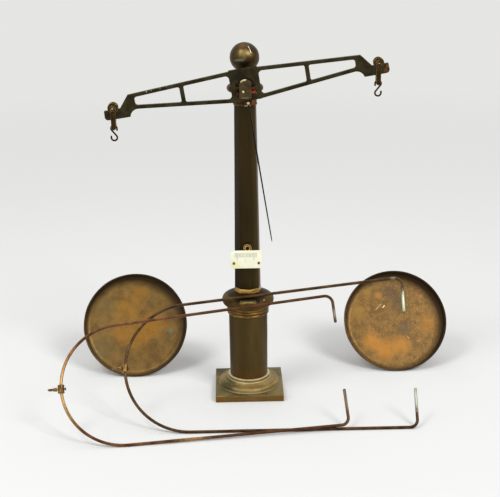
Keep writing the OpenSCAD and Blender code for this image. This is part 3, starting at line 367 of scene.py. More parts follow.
# %% Index
aged_brass(
    "white plate", (0.93, 0.92, 0.80), (0.97, 0.965, 0.87), (0.99, 0.99, 0.93), 40, metal=0.0, pits=0.08,
    grain=0.05, rough=(0.3, 0.4), stains_and_painted_light=[((0.93, 0.90, 0.62), (-20, -26, 207), 10, 0.6)], slot="white_plate")
aged_brass(
    "tick ink", (0.34, 0.33, 0.30), (0.42, 0.41, 0.37), (0.54, 0.54, 0.50), 300, metal=0.0, grain=0.05)
aged_brass(
    "faint ink", (0.68, 0.68, 0.62), (0.74, 0.74, 0.68), (0.80, 0.80, 0.74), 300, metal=0.0, grain=0.05)
aged_brass(
    "plate screw", (0.30, 0.29, 0.15), (0.42, 0.40, 0.22), (0.56, 0.54, 0.34), 200, metal=0.3, shine=0.2)
aged_brass(
    "bracket brass", (0.16, 0.09, 0.035), (0.26, 0.16, 0.065), (0.42, 0.28, 0.13), 120, metal=0.8, shine=0.2,
    slot="bracket_brass")
aged_brass(
    "eye ring", (0.72, 0.54, 0.27), (0.88, 0.70, 0.38), (1.0, 0.90, 0.64), 160, metal=0.7, rough=(0.2, 0.35))
aged_brass(
    "dark steel", (0.10, 0.08, 0.06), (0.16, 0.13, 0.10), (0.34, 0.30, 0.24), 150, metal=0.8,
    rough=(0.25, 0.4), shine=0.2, slot="dark_steel")

# %% [markdown]
# The front bow is warm brown, the rear one darker, and both have pale stretches; the pale gold spot on the front
# bow's lower leg is a painted highlight. The pans are light brown inside with golden and grey clouds. A painted
# shade on the inner wall darkens them towards the rim.

# %% Bows and pans
# Painted highlight: the pale gold stain on the lower leg, near the floor.
aged_brass(
    "front wire", (0.31, 0.19, 0.10), (0.49, 0.33, 0.19), (0.82, 0.63, 0.40), 60, wear=0.30, metal=0.75,
    rough=(0.25, 0.4), shine=0.2, bands_and_painted_light=[((0.25, 0.155, 0.10), 0, -150, -60, 0.6)],
    stains_and_painted_light=[((0.76, 0.60, 0.37), (-270, -150, 70), 50, 0.7), ((0.84, 0.66, 0.38), (-80, -184, 3), 26, 0.7),
            ((0.66, 0.60, 0.48), (136.8, -124, 38), 20, 0.7), ((0.66, 0.68, 0.60), (127, -42, 137), 9, 0.8)],
    slot="bow_wire_front")
aged_brass(
    "rear wire", (0.22, 0.15, 0.085), (0.36, 0.26, 0.15), (0.60, 0.47, 0.31), 60, wear=0.28, metal=0.75,
    rough=(0.28, 0.42), shine=0.2, stains_and_painted_light=[((0.80, 0.84, 0.70), (230.5, -38, 149), 21, 0.85),
                                           ((0.62, 0.66, 0.54), (217, -10, 181), 6, 0.6),
                                           ((0.70, 0.74, 0.66), (237, -122, 39), 24, 0.75)], slot="bow_wire_rear")
aged_brass(
    "barrel brass", (0.33, 0.24, 0.12), (0.54, 0.40, 0.21), (0.80, 0.66, 0.40), 130, wear=0.4, metal=0.8,
    rough=(0.22, 0.4), shine=0.2)
# In both pans the rim shade is a painted shade on the inner wall.
aged_brass(
    "pan brass", (0.40, 0.31, 0.17), (0.51, 0.395, 0.21), (0.61, 0.48, 0.265), 60, wear=0.30, metal=0.6,
    rough=(0.38, 0.52), shine=0.2,
    stains_and_painted_light=[((0.61, 0.43, 0.15), (-191, 109, 91), 24, 0.5), ((0.61, 0.42, 0.14), (-172, 122, 113), 16, 0.5),
            ((0.62, 0.43, 0.15), (-176, 88, 55), 28, 0.55), ((0.62, 0.43, 0.17), (-201, 90, 58), 18, 0.5),
            ((0.62, 0.42, 0.15), (-152, 97, 70), 24, 0.6), ((0.46, 0.39, 0.25), (-232, 77, 36), 22, 0.6),
            ((0.46, 0.38, 0.23), (-232, 112, 97), 22, 0.5), ((0.34, 0.50, 0.43), (-122.7, 91, 60), 3.2, 0.9),
            ((0.30, 0.42, 0.36), (-123.5, 87.5, 55), 2.2, 0.8)],
    rim_shade=((0.16, 0.115, 0.05), (-183, 94.6, 63.1), 68.5, 80, 0.9), slot="pan_brass")
aged_brass(
    "right pan brass", (0.385, 0.295, 0.165), (0.49, 0.37, 0.20), (0.70, 0.53, 0.30), 120, wear=0.46, metal=0.6,
    rough=(0.36, 0.52), shine=0.2, grain=0.6, pits=0.6, share=(0.34, 0.6),
    stains_and_painted_light=[((0.31, 0.26, 0.195), (234, 131, 103), 20, 0.6), ((0.31, 0.26, 0.195), (248, 120, 88), 18, 0.6),
            ((0.33, 0.275, 0.21), (254, 96, 54), 16, 0.6), ((0.73, 0.49, 0.19), (199, 84, 38), 17, 0.5),
            ((0.73, 0.49, 0.19), (220, 75, 26), 19, 0.55), ((0.71, 0.48, 0.19), (246, 79, 32), 17, 0.5),
            ((0.68, 0.46, 0.25), (214, 128, 99), 7, 0.55), ((0.60, 0.47, 0.20), (180, 112, 78), 12, 0.5),
            ((0.62, 0.49, 0.22), (196, 130, 105), 10, 0.45), ((0.60, 0.42, 0.18), (294, 100, 60), 18, 0.5)],
    scratches_and_painted_light=[((0.84, 0.76, 0.58), (208, 113.5, 79), (218.5, 119.5, 87.5), 0.4),
               ((0.98, 0.92, 0.80), (220, 115.8, 82), (223.5, 118.2, 85), 0.75),
               ((0.78, 0.66, 0.42), (257, 87.5, 43), (261, 85, 39), 0.4)],
    rim_shade=((0.15, 0.105, 0.045), (232, 100.7, 58.3), 68, 81, 0.92))

# %% [markdown]
# The solids that stay as they are, because they are hidden or seen only through the hub's window, get
# their finish first. The others get one too, and are hidden when their worn pieces take their place.

# %% Finish the solids
slots = {part["node"]: part["material_slot"] for part in frame["record"]["subparts"]}
for name, solid in solids.items():
    for entry in solid.material_slots:
        entry.material = FINISH[slots[name]]
print("finished", len(solids), "solids")

# %% [markdown]
# ## Ways of making
# Nearly all of the real pieces were made in one of three ways, and each has its helper here. A **turned**
# piece starts as a line of edges, its profile, which is spun round an axis as on a lathe. A **sheet** piece
# is a closed outline that is filled and drawn out to its thickness, with openings sawn out. A **wire** is a
# ring pushed along straight runs and round bends. All are worked in millimetres round the world's origin and
# set in place afterwards. Everything is deselected before a step, because an operator acts on all that is
# selected.

# %% Bench
def idle():
    """Leaves edit mode and deselects everything."""
    if bpy.context.object and bpy.context.object.mode == "EDIT":
        bpy.ops.object.mode_set(mode="OBJECT")
    bpy.ops.object.select_all(action="DESELECT")


def take(*pieces):
    """Selects the pieces. The last one becomes the active one."""
    idle()
    for piece in pieces:
        piece.select_set(True)
        bpy.context.view_layer.objects.active = piece


def close_edit():
    """Merges doubles, turns the faces outwards and goes back to object mode."""
    bpy.ops.mesh.select_all(action="SELECT")
    bpy.ops.mesh.remove_doubles(threshold=0.004 * MM)
    bpy.ops.mesh.normals_make_consistent(inside=False)
    bpy.ops.object.mode_set(mode="OBJECT")


def place(piece, matrix):
    """Moves a piece and writes the move into its mesh, so that its object stays at the origin."""
    take(piece)
    piece.matrix_world = matrix
    bpy.ops.object.transform_apply(location=True, rotation=True, scale=True)


def copy_of(piece, name, matrix):
    take(piece)
    bpy.ops.object.duplicate(linked=False)
    twin = bpy.context.object
    twin.name = name
    place(twin, matrix)
    return twin


def joined(name, first, *others):
    """Makes one piece of several."""
    take(*others, first)
    bpy.ops.object.join()
    first.name = name
    return first


def shift(x, y, z):
    return Matrix.Translation(Vector((x, y, z)) * MM)


def spin(axis, angle):
    return Matrix.Rotation(math.radians(angle), 4, axis)


# %% [markdown]
# Every profile and outline is a list of points. Straight parts are typed, and round ones come from two
# helpers: one gives an arc, the other rounds the corners of a polygon, each by its own radius.

# %% Outlines
def arc(centre, radius, start, end, steps=8):
    """Points on a circle, from one angle to the other."""
    turns = [math.radians(start + (end - start) * k / steps) for k in range(steps + 1)]
    return [(centre[0] + radius * math.cos(a), centre[1] + radius * math.sin(a)) for a in turns]


def rounded(corners, radii, steps):
    """An outline whose corners are rounded, each with its own radius."""
    outline = []
    for k, (corner, radius) in enumerate(zip(corners, radii)):
        here = Vector(corner)
        back = (Vector(corners[k - 1]) - here).normalized()
        on = (Vector(corners[(k + 1) % len(corners)]) - here).normalized()
        half = back.angle(on) / 2
        middle = here + (back + on).normalized() * radius / math.sin(half)
        first = here + back * radius / math.tan(half) - middle
        sweep = first.angle_signed(here + on * radius / math.tan(half) - middle)
        for step in range(steps + 1):
            a = -sweep * step / steps
            outline.append((middle.x + first.x * math.cos(a) - first.y * math.sin(a),
                            middle.y + first.x * math.sin(a) + first.y * math.cos(a)))
    return outline


# %% [markdown]
# A list of points becomes edges by pushing one vertex along it. The lathe spins the edges once
# round. For a sheet they are closed, filled and drawn out, and a saw cut is a Boolean with a tool of the
# opening's shape.

# %% Lathe, sheet and saw
def line(name, points):
    """One vertex, pushed on from point to point: a line of edges."""
    idle()
    bpy.ops.mesh.primitive_plane_add(size=0.01)
    piece = bpy.context.object
    piece.name = name
    bpy.ops.object.mode_set(mode="EDIT")
    bpy.ops.mesh.merge(type="CENTER")
    bpy.ops.transform.translate(value=Vector(points[0]) * MM)
    for here, there in zip(points, points[1:]):
        step = (Vector(there) - Vector(here)) * MM
        bpy.ops.mesh.extrude_region_move(TRANSFORM_OT_translate={"value": step})
    return piece


def turned(name, profile, steps=96):
    """Spins a profile of (radius, height) points once round the Z axis."""
    piece = line(name, [(r, 0.0, z) for r, z in profile])
    bpy.ops.mesh.select_all(action="SELECT")
    bpy.ops.mesh.spin(steps=steps, angle=2 * math.pi, center=(0, 0, 0), axis=(0, 0, 1))
    close_edit()
    return piece


def sheet(name, outline, low, high):
    """A closed outline in the XY plane, filled and drawn out from low to high."""
    piece = line(name, [(x, y, low) for x, y in outline])
    bpy.ops.mesh.select_all(action="SELECT")
    bpy.ops.mesh.edge_face_add()
    bpy.ops.mesh.extrude_region_move(TRANSFORM_OT_translate={"value": (0, 0, (high - low) * MM)})
    close_edit()
    return piece


def saw(piece, tool):
    """Takes the tool's shape out of the piece. The tool is used up."""
    take(piece)
    cut = piece.modifiers.new("cut", "BOOLEAN")
    cut.operation, cut.solver, cut.object = "DIFFERENCE", "EXACT", tool
    bpy.ops.object.modifier_apply(modifier="cut")
    bpy.data.objects.remove(tool)


# %% [markdown]
# A wire could be a curve with a thickness. Pushing a ring along the path instead is how a bender works: it
# knows only straight runs and bends, and a bend is a spin round a point beside the wire.

# %% Wire
def wire(name, radius, start, heading, path, sides, run=20.0):
    """A ring pushed along its path in the XY plane, with rounded ends.
    A number in the path is a straight run, a pair is a bend: its radius and its angle to the left."""
    idle()
    spot, angle = Vector((*start, 0.0)) * MM, math.radians(heading)
    bpy.ops.mesh.primitive_circle_add(vertices=sides, radius=0.5 * radius * MM, location=spot,
                                      rotation=(0, math.pi / 2, angle))
    piece = bpy.context.object
    piece.name = name
    bpy.ops.object.transform_apply(location=True, rotation=True, scale=True)
    bpy.ops.object.mode_set(mode="EDIT")

    def push(length, size=1.0):
        nonlocal spot
        step = Vector((math.cos(angle), math.sin(angle), 0)) * length * MM
        bpy.ops.mesh.extrude_region_move(TRANSFORM_OT_translate={"value": step})
        spot = spot + step
        if size != 1.0:
            bpy.ops.transform.resize(value=(size, size, size), center_override=spot)

    push(0.2 * radius, 1.7)
    push(0.3 * radius, 1.0 / 0.85)
    for k, move in enumerate(path):
        if isinstance(move, tuple):
            bend, degrees = move
            side = math.copysign(bend * MM, degrees)
            centre = spot + Vector((-math.sin(angle), math.cos(angle), 0)) * side
            step_angle = 4 if bend > 20 else 9
            bpy.ops.mesh.spin(steps=max(6, int(abs(degrees) / step_angle)), angle=-math.radians(degrees),
                              center=centre, axis=(0, 0, 1))
            spot = centre + Matrix.Rotation(math.radians(degrees), 3, "Z") @ (spot - centre)
            angle += math.radians(degrees)
            continue
        length = move - 0.5 * radius * ((k == 0) + (k == len(path) - 1))
        runs = max(1, round(length / run))
        for part in range(runs):
            push(length / runs)
    push(0.3 * radius, 0.85)
    push(0.2 * radius, 1.0 / 1.7)
    bpy.ops.mesh.select_all(action="SELECT")
    bpy.ops.mesh.fill_holes(sides=0)
    close_edit()
    return piece


# %% [markdown]
# ## Wear
# Nothing on the old scale has a sharp edge. A bevel on all edges over a set angle rounds them. The faces
# of the bevel can take a second, brighter finish, because an edge is where the patina is rubbed off.
# A dent is made by pushing the surface in and out a little with a soft cloud pattern, after the
# faces are cut small enough to follow it.

# %% Edges and dents
def soften(piece, width, segments, angle=30, smooth=45, rubbed=False):
    """Rounds all edges over the angle. Rubbed ones take the piece's second finish."""
    take(piece)
    edge = piece.modifiers.new("edge", "BEVEL")
    edge.width, edge.segments = width * MM, segments
    edge.limit_method, edge.angle_limit = "ANGLE", math.radians(angle)
    edge.material = 1 if rubbed else -1
    bpy.ops.object.modifier_apply(modifier="edge")
    bpy.ops.object.shade_smooth_by_angle(angle=math.radians(smooth))


def dent(piece, depth, size):
    """Pushes the surface in and out by up to depth, in soft patches of the given size."""
    take(piece)
    cloud = bpy.data.textures.new(piece.name + "_dents", "CLOUDS")
    cloud.noise_scale, cloud.noise_depth = size * MM, 1
    push = piece.modifiers.new("dents", "DISPLACE")
    push.texture, push.texture_coords = cloud, "LOCAL"
    push.strength, push.mid_level = depth * MM, 0.5
    bpy.ops.object.modifier_apply(modifier="dents")


def finish(piece, *names):
    """Gives the piece its finish. A second one is for its rubbed edges."""
    for name in names:
        piece.data.materials.append(FINISH[name])


def done(piece, body, slot, *stands_for):
    """Ties the piece to its body and lets it stand for its solids. The slot it is given is not used."""
    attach(piece, body)
    if stands_for:
        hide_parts(*stands_for)
    print(piece.name, len(piece.data.polygons), "faces, rides on", body)


# %% [markdown]
# ## The foot
# A square cast plate. Its upper edges are worn round and its corners knocked. It could be a scaled cube,
# but a flat sheet with rounded corners that is drawn out and bevelled shows how such a plate is cast.

# %% Base plate
PLATE_TOP, half = 10, 51.5
corners = [(-half, -half), (half, -half), (half, half), (-half, half)]
plate = sheet("base_plate_worn", rounded(corners, [1.6, 1.2, 0.9, 1.1], 3), 0, PLATE_TOP)
finish(plate, "aged_brass_plate", "worn edge")
soften(plate, 0.7, 3, rubbed=True)
done(plate, "stand", "aged_brass_plate", "base_plate")

# %% [markdown]
# The moulding above it was turned: a thin foot, a quarter round, a hollow and two thin rings. The profile
# is a list of points, with arcs where the lathe tool left them.

# %% Base moulding
MOULDING_TOP = 26.5
profile = [(0, PLATE_TOP), (46.2, PLATE_TOP), (46.2, 10.8), (45.6, 11.2)]
profile += arc((41.75, 13.75), 3.75, 0, 90, 8)
profile += [(40.95, 17.6), (40.95, 18.5)]
profile += arc((40.95, 18.5 + 12.17), 12.17, -92, -141, 10)
profile += arc((30.62, 23.87), 0.88, -80, 80, 5) + arc((30.62, 25.62), 0.88, -80, 90, 5)
moulding = turned("base_moulding_worn", profile + [(0, MOULDING_TOP)])
finish(moulding, "aged_brass_turned", "worn edge")
soften(moulding, 0.3, 2, rubbed=True)
done(moulding, "stand", "aged_brass_turned", "base_moulding")

# %% [markdown]
# ## The columns
# The lower column is a plain round tube. A turner's finish is never quite even, so it has a few more rings
# than it needs and is pushed in and out by about a tenth of a millimetre, which breaks up the reflections.

# %% Lower column
LOWER_TOP = 126
bore, parts = 24.6, 16
profile = [(bore, MOULDING_TOP), (28.4, MOULDING_TOP)]
profile += [(28.6 + 0.6 * k / parts, 27 + 98.5 * k / parts) for k in range(parts + 1)]
profile += [(29.0, LOWER_TOP), (bore, LOWER_TOP), (bore, MOULDING_TOP)]
column = turned("lower_column_worn", profile)
finish(column, "lower brass")
dent(column, 0.25, 14)
soften(column, 0.15, 1)
done(column, "stand", "brown_brass", "lower_column")

# %% [markdown]
# The collar is three pieces: two thin beads, the wide rounded flange with its sloping top, and an
# eight-sided ring on which the upper column stands. The first two are turned.

# %% Beads and flange
BEADS_TOP, FLANGE_TOP = 139.5, 161
profile = [(0, LOWER_TOP)] + arc((29.0, 128.5), 2.5, -90, 90, 8) + arc((29.0, 133.5), 2.5, -85, 90, 8)
beads = turned("column_beads", profile + [(30.9, 136.1), (30.9, BEADS_TOP), (0, BEADS_TOP)])
finish(beads, "bead brass")
soften(beads, 0.25, 2)
done(beads, "stand", "aged_brass_turned", "column_astragal")

profile = [(0, BEADS_TOP)] + arc((31, 147.5), 8, -90, 74, 20)
flange = turned("flange_worn", profile + [(21.6, 160.7), (21.0, FLANGE_TOP), (0, FLANGE_TOP)])
finish(flange, "flange brass")
dent(flange, 0.3, 18)
soften(flange, 0.3, 2)
done(flange, "stand", "aged_brass_turned", "collar_flange")

# %% [markdown]
# The ring and the upper column are eight-sided and turned a little on the column's axis, so that a face
# and not an edge is seen from the front left. A cone with eight sides is the start of both. It is bisected
# into slices, because only then can the long faces be dented.

# %% Fillet ring
POST_TURN, FILLET_TOP = 11.5, 168.5


def eight_sided(name, foot_r, top_r, low, high, cuts=1):
    """A tapered eight-sided bar on the column's axis, cut across so that it can be dented."""
    idle()
    bpy.ops.mesh.primitive_cone_add(vertices=8, radius1=foot_r * MM, radius2=top_r * MM, depth=(high - low) * MM,
                                    location=(0, 0, (low + high) / 2 * MM),
                                    rotation=(0, 0, math.radians(90 + POST_TURN)))
    bar = bpy.context.object
    bar.name = name
    bpy.ops.object.transform_apply(location=True, rotation=True, scale=True)
    bpy.ops.object.mode_set(mode="EDIT")
    for k in range(1, cuts):
        bpy.ops.mesh.select_all(action="SELECT")
        bpy.ops.mesh.bisect(plane_co=(0, 0, (low + (high - low) * k / cuts) * MM), plane_no=(0, 0, 1))
    close_edit()
    return bar


ring = eight_sided("fillet_ring", 21.2, 20.5, FLANGE_TOP, FILLET_TOP)
finish(ring, "fillet brass")
soften(ring, 1.5, 4)
done(ring, "stand", "bright_brass", "collar_fillet")

# %% [markdown]
# The upper column is a planed eight-sided bar that narrows upwards. It is cut across about every 17 mm, and
# the dents then make its faces a little wavy. Its edges are rounded first, so that they are dented too.

# %% Upper column
POST_TOP = 445.5
post = eight_sided("upper_column_worn", 19.9, 16.4, FILLET_TOP, POST_TOP, cuts=16)
finish(post, "brown_brass")
soften(post, 0.7, 2)
dent(post, 0.35, 25)
done(post, "stand", "brown_brass", "upper_column")

# %% [markdown]
# ## Capital and ball
# The capital is a short round neck with a lip at its foot and a fat ring on top, turned in one piece.

# %% Capital
profile = [(0, POST_TOP)] + arc((17.0, 446.0), 0.5, -90, 0, 3) + [(17.5, 446.8), (16.7, 447.2), (16.6, 463.8)]
profile += arc((21.3, 469), 5, -88, 90, 14) + [(0, 474)]
capital = turned("capital_worn", profile)
finish(capital, "red_brass", "worn edge")
dent(capital, 0.3, 12)
soften(capital, 0.25, 2, rubbed=True)
done(capital, "stand", "red_brass", "capital_ring")

# %% [markdown]
# The ball has a round foot, which stands on the arm that carries the beam. It was raised from two cups and
# has lost its perfect roundness, so it is dented more deeply and more softly than the rest.

# %% Ball
BALL_FOOT = 479
profile = [(0, BALL_FOOT), (16.7, BALL_FOOT), (17, 479.4), (17, 483.4)]
profile += [(16.4, 484), (12.6, 484), (12, 484.8), (12, 494.6)]
profile += arc((0, 512.6), 21, -54, 90, 28)
ball = turned("ball_worn", profile)
finish(ball, "ball_brass")
dent(ball, 0.7, 16)
soften(ball, 0.3, 2)
done(ball, "stand", "ball_brass", "ball_finial")

# %% [markdown]
# ## The beam
# The beam is cut from one sheet: a hub with a window in the middle, two openwork arms and a plate with a
# nose at each end. It is made lying flat, with its knife edge at the origin, and PIVOT then stands it up, tilts
# it as in the photograph and sets it in front of the column. The outline is written once for the right half
# and mirrored for the left.

# %% Beam outline
PIVOT_Y, PIVOT_Z, TILT, REACH = -33, 479, 8.8, 188
PIVOT = shift(0, PIVOT_Y, PIVOT_Z) @ spin("Y", -TILT) @ spin("X", 90)


def low_edge(a):
    """Height of the beam's lower edge at a distance from its knife."""
    return -21.7 + 14.5 * (a - 21) / 132


def top_edge(a):
    """Height of the upper edge there."""
    return 22.4 - 7.8 * (a - 21) / 143.4


right = [(0, -22.3), (19.5, -22.3), (21, low_edge(21))] + arc((154.31, -19.128), 12, 96.3, 12.2, 8)
right += [(REACH, -16.6)] + arc((197, -11.5), 4.9, -80, 0, 4) + [(201.3, -2.9), (200.6, -2.6)]
right += [(178.5, -2.6), (164.4, 14.6), (21, top_edge(21)), (19.5, 24), (0, 24)]
left = [(-x, y) for x, y in reversed(right[1:-1])]
beam = sheet("beam_worn", right + left, -2.5, 2.5)
print("the beam's outline has", len(right + left), "points")

# %% [markdown]
# The windows are sheets too, with round corners, and are sawn out. Each of the four long ones leaves a rim of
# the same width along both edges of the beam. The seats of the end knives are small notches in the end
# plates. One bevel then rounds every edge.

# %% Beam windows
rim = 5.2
for side in (-1, 1):
    for a, b, r_in, r_out in ((21, 85.55, 5, 2.5), (91.45, 156, 2.5, 4)):
        window = [(side * a, low_edge(a) + rim), (side * b, low_edge(b) + rim),
                  (side * b, top_edge(b) - rim), (side * a, top_edge(a) - rim)]
        saw(beam, sheet("window", rounded(window, (r_in, r_out, r_out, r_in), 6), -4, 4))
    seat = [(side * x, y) for x, y in ((186.4, -1), (186.4, -3.7), (189.6, -3.7), (189.6, -1))]
    saw(beam, sheet("seat", seat, -4, 4))
hub_window = [(-14, -14.5), (14, -14.5), (14, 5.5), (3.2, 5.5), (3.2, 8.5), (-3.2, 8.5), (-3.2, 5.5), (-14, 5.5)]
saw(beam, sheet("hub_window", hub_window, -4, 4))
finish(beam, "beam_brass", "dark edge")
soften(beam, 0.45, 2, rubbed=True)
place(beam, PIVOT)
done(beam, "beam", "beam_brass", "beam")

# %% [markdown]
# ## Screws
# One slotted, slightly domed screw is turned and sawn once. Each other one is a copy, scaled to its size.

# %% Screw pattern
screw_pattern = turned("screw_pattern", [(0, -4), (0.5, -4), (0.5, 0), (0.98, 0), (1, 0.1), (0.92, 0.42),
                                         (0.6, 0.6), (0, 0.68)], 40)
saw(screw_pattern, sheet("slot", [(-2, -0.14), (2, -0.14), (2, 0.14), (-2, 0.14)], 0.3, 2))
soften(screw_pattern, 0.05, 1)


def screw(name, head_r, matrix, slot_turn):
    """A copy with a head of the given radius, its slot turned by the given angle."""
    size = Matrix.Diagonal((head_r, head_r, head_r, 1.0))
    return copy_of(screw_pattern, name, matrix @ spin("Z", slot_turn) @ size)


FRONT = spin("X", 90)
left_screw = screw("cheek_screw_left", 1.8, FRONT @ shift(-3, 471, 41), 35)
right_screw = screw("cheek_screw_right", 1.8, FRONT @ shift(3, 471, 41), -20)
finish(left_screw, "cream screw")
finish(right_screw, "bead brass")
cheek_screws = joined("cheek_screws_worn", left_screw, right_screw)
done(cheek_screws, "stand", "bright_brass", "cheek_screws")

holder_screw = screw("needle_screw_worn", 2.0, PIVOT @ shift(0, -25.3, 3.5), 60)
finish(holder_screw, "cream screw")
done(holder_screw, "beam", "bright_brass", "needle_screw")

# %% [markdown]
# ## Cheek and needle
# The cheek is a small plate with an arched top. It keeps the knife from walking forward. It is made lying
# down like all sheets, and FRONT then stands it up to face the front.

# %% Cheek
outline = [(-8.5, 461.8), (-8.2, 461.5), (8.2, 461.5), (8.5, 461.8)] + arc((0, 480.2), 8.5, 0, 180, 20)
cheek = sheet("cheek_worn", outline, 38.4, 41.0)
finish(cheek, "cheek brass")
soften(cheek, 0.5, 3)
place(cheek, FRONT)
done(cheek, "stand", "aged_brass_dark", "front_cheek")

# %% [markdown]
# Under the hub a block with a round lower side holds the needle. The needle is turned, tapers over its whole
# length to a fine point, and belongs to the beam, so both are set in place by PIVOT.

# %% Needle and its holder
outline = rounded([(-5.3, -28.3), (5.3, -28.3), (5.3, -22.3), (-5.3, -22.3)], [3.2, 3.2, 0.4, 0.4], 5)
holder = sheet("needle_holder_worn", outline, -3.5, 3.5)
finish(holder, "aged_brass_dark")
soften(holder, 0.7, 3)
place(holder, PIVOT)
done(holder, "beam", "aged_brass_dark", "needle_holder")

profile = [(0, 22.8), (1.35, 22.8), (1.35, 30), (1.1, 120), (0.85, 222), (0.7, 230), (0.35, 233.4), (0, 233.9)]
needle = turned("needle_worn", profile, 20)
finish(needle, "dark_steel")
soften(needle, 0.05, 1)
place(needle, PIVOT @ spin("X", 90))
done(needle, "beam", "dark_steel", "needle")

# %% [markdown]
# ## The index
# The white plate stands in front of the upper column on a brass bracket. The bracket's eye shows above the
# plate: a raised ring, a groove and a smaller ring round a dark screw. The hidden strap behind the plate
# carries two pads, and the plate is screwed to them.

# %% Bracket
EYE_Z, SCREWS_X, SCREWS_Z = 235, (-20.3, 16.3), 213.1
PAD_FRONT = 23.96
profile = [(2.65, 19.4), (5.6, 19.4), (6.4, 20.0), (6.5, 22.4), (6.3, 22.8), (5.4, 22.8), (4.9, 22.0),
           (4.5, 22.0), (4.2, 22.9), (2.65, 22.9), (2.65, 19.4)]
eye = turned("index_eye", profile, 48)
finish(eye, "bracket_brass")
place(eye, shift(0, EYE_Z, 0))
rings = []
for mean, half, top, metal in ((5.9, 0.5, 23.3, "bright_brass"), (3.7, 0.7, 23.6, "eye ring")):
    profile = [(mean - half, 22.7), (mean + half, 22.7), (mean + half, top - 0.2), (mean, top),
               (mean - half, top - 0.2), (mean - half, 22.7)]
    rings.append(turned("eye_ring", profile, 48))
    finish(rings[-1], metal)
    place(rings[-1], shift(0, EYE_Z, 0))
outline = [(-4, 230), (-4, 217.1), (-23.5, 217.1), (-23.5, 209.1),
           (19.5, 209.1), (19.5, 217.1), (4, 217.1), (4, 230)]
strap = sheet("index_strap", outline, 19.4, 22.36)
pads = [sheet("index_pad", arc((x, SCREWS_Z), 3, 0, 345, 23), 22.3, PAD_FRONT) for x in SCREWS_X]
bracket = joined("index_bracket_worn", eye, strap, *pads, *rings)
soften(bracket, 0.15, 2)
place(bracket, FRONT)
done(bracket, "stand", "bracket_brass", "index_bracket")
bolt = screw("index_bolt", 2.6, FRONT @ shift(0, EYE_Z, 22.0), 15)
finish(bolt, "dark_steel")
done(bolt, "stand", "dark_steel", "index_bracket_screw")

# %% [markdown]
# The plate is a sheet whose left corners are much rounder than its right ones. Its edges are worn round.

# %% Index plate
corners = [(-25.25, 204.9), (21.25, 204.9), (21.25, 232.4), (-25.25, 232.4)]
index = sheet("index_plate_worn", rounded(corners, [5.2, 1.8, 2.2, 7.2], 6), PAD_FRONT, 26.36)
finish(index, "white_plate")
soften(index, 0.5, 3)
place(index, FRONT)
done(index, "stand", "white_plate", "index_plate")

# %% [markdown]
# The plate carries a row of plain ticks, longer at the middle and at every tenth. They could be painted in
# the finish. Thin raised sheets stay sharp from close by, and each can take the full or the faded ink.

# %% Ticks and plate screws
middle, gap, top = -2.9, 1.24, 229.2
marks = {"tick ink": [], "faint ink": []}
for k in range(-13, 14):
    foot = {0: 214.5, 10: 217.8}.get(abs(k), 222.3)
    x = middle + gap * k
    half = 0.24 if abs(k) == 10 else 0.16
    tick = sheet("tick", [(x - half, foot), (x + half, foot), (x + half, top), (x - half, top)], 26.3, 26.42)
    ink = "faint ink" if k == 0 or k % 4 == 3 else "tick ink"
    finish(tick, ink)
    marks[ink].append(tick)
ticks = joined("index_ticks", *marks["tick ink"], *marks["faint ink"])
place(ticks, FRONT)
done(ticks, "stand", "dark_steel")

heads = joined("index_screws_worn",
               screw("index_screw_left", 2.0, FRONT @ shift(SCREWS_X[0], SCREWS_Z, 26.3), 50),
               screw("index_screw_right", 2.0, FRONT @ shift(SCREWS_X[1], SCREWS_Z, 26.3), -35))
finish(heads, "plate screw")
done(heads, "stand", "dark_steel", "index_plate_screws")

# %% [markdown]
# ## Stirrups
# A stirrup is a fork of two cheeks with a spacer between them. A round opening in each head takes a brass
# bearing. One stirrup is modelled round its knife edge and then copied to both ends of the beam.

# %% Fork
PIN_DROP = 28
head = arc((0, 0), 7.4, -62.6, 242.6, 24) + arc((0, -PIN_DROP), 3.4, 180, 360, 8)
cheeks = []
for low in (-5.1, 3.3):
    side = sheet("stirrup_cheek", head, low, low + 1.8)
    saw(side, sheet("eye", arc((0, 0), 4.4, 0, 350, 35), low - 1, low + 3))
    cheeks.append(side)
spacer = sheet("stirrup_spacer", [(-3.4, -22.6), (3.4, -22.6), (3.4, -19.6), (-3.4, -19.6)], -3.4, 3.4)
fork = joined("stirrup_pattern", *cheeks, spacer)
finish(fork, "aged_brass_dark", "worn edge")
soften(fork, 0.35, 2, rubbed=True)
print("fork:", len(fork.data.polygons), "faces")

# %% [markdown]
# The bearing fills the round opening but for a notch, in which the end knife of the beam lies. The pin goes
# through the feet of both cheeks and carries the hook between them.

# %% Bearings and pin
notch = arc((0, 0), 4.38, -36, 216, 24) + [(0, 0.35)]
fillings = [sheet("filling", notch, low, low + 1.9) for low in (-5.15, 3.25)]
filling = joined("bearing_pattern", *fillings)
finish(filling, "bearing brass")
soften(filling, 0.3, 2)
profile = [(0, -5.8), (1.5, -5.8), (1.9, -5.5), (1.9, -5.1), (1.2, -5.1), (1.2, 5.1), (1.9, 5.1), (1.9, 5.5),
           (1.5, 5.8), (0, 5.8)]
pin = turned("pin_pattern", profile, 24)
place(pin, shift(0, -PIN_DROP, 0))
finish(pin, "aged_brass_dark")
soften(pin, 0.1, 1)
print("bearings:", len(filling.data.polygons), "faces, pin:", len(pin.data.polygons))

# %% [markdown]
# The ends of the tilted beam aren't level, so each stirrup gets a place of its own, found from the beam's tilt
# and reach. It isn't tilted with the beam, because it hangs plumb on its knife edge.

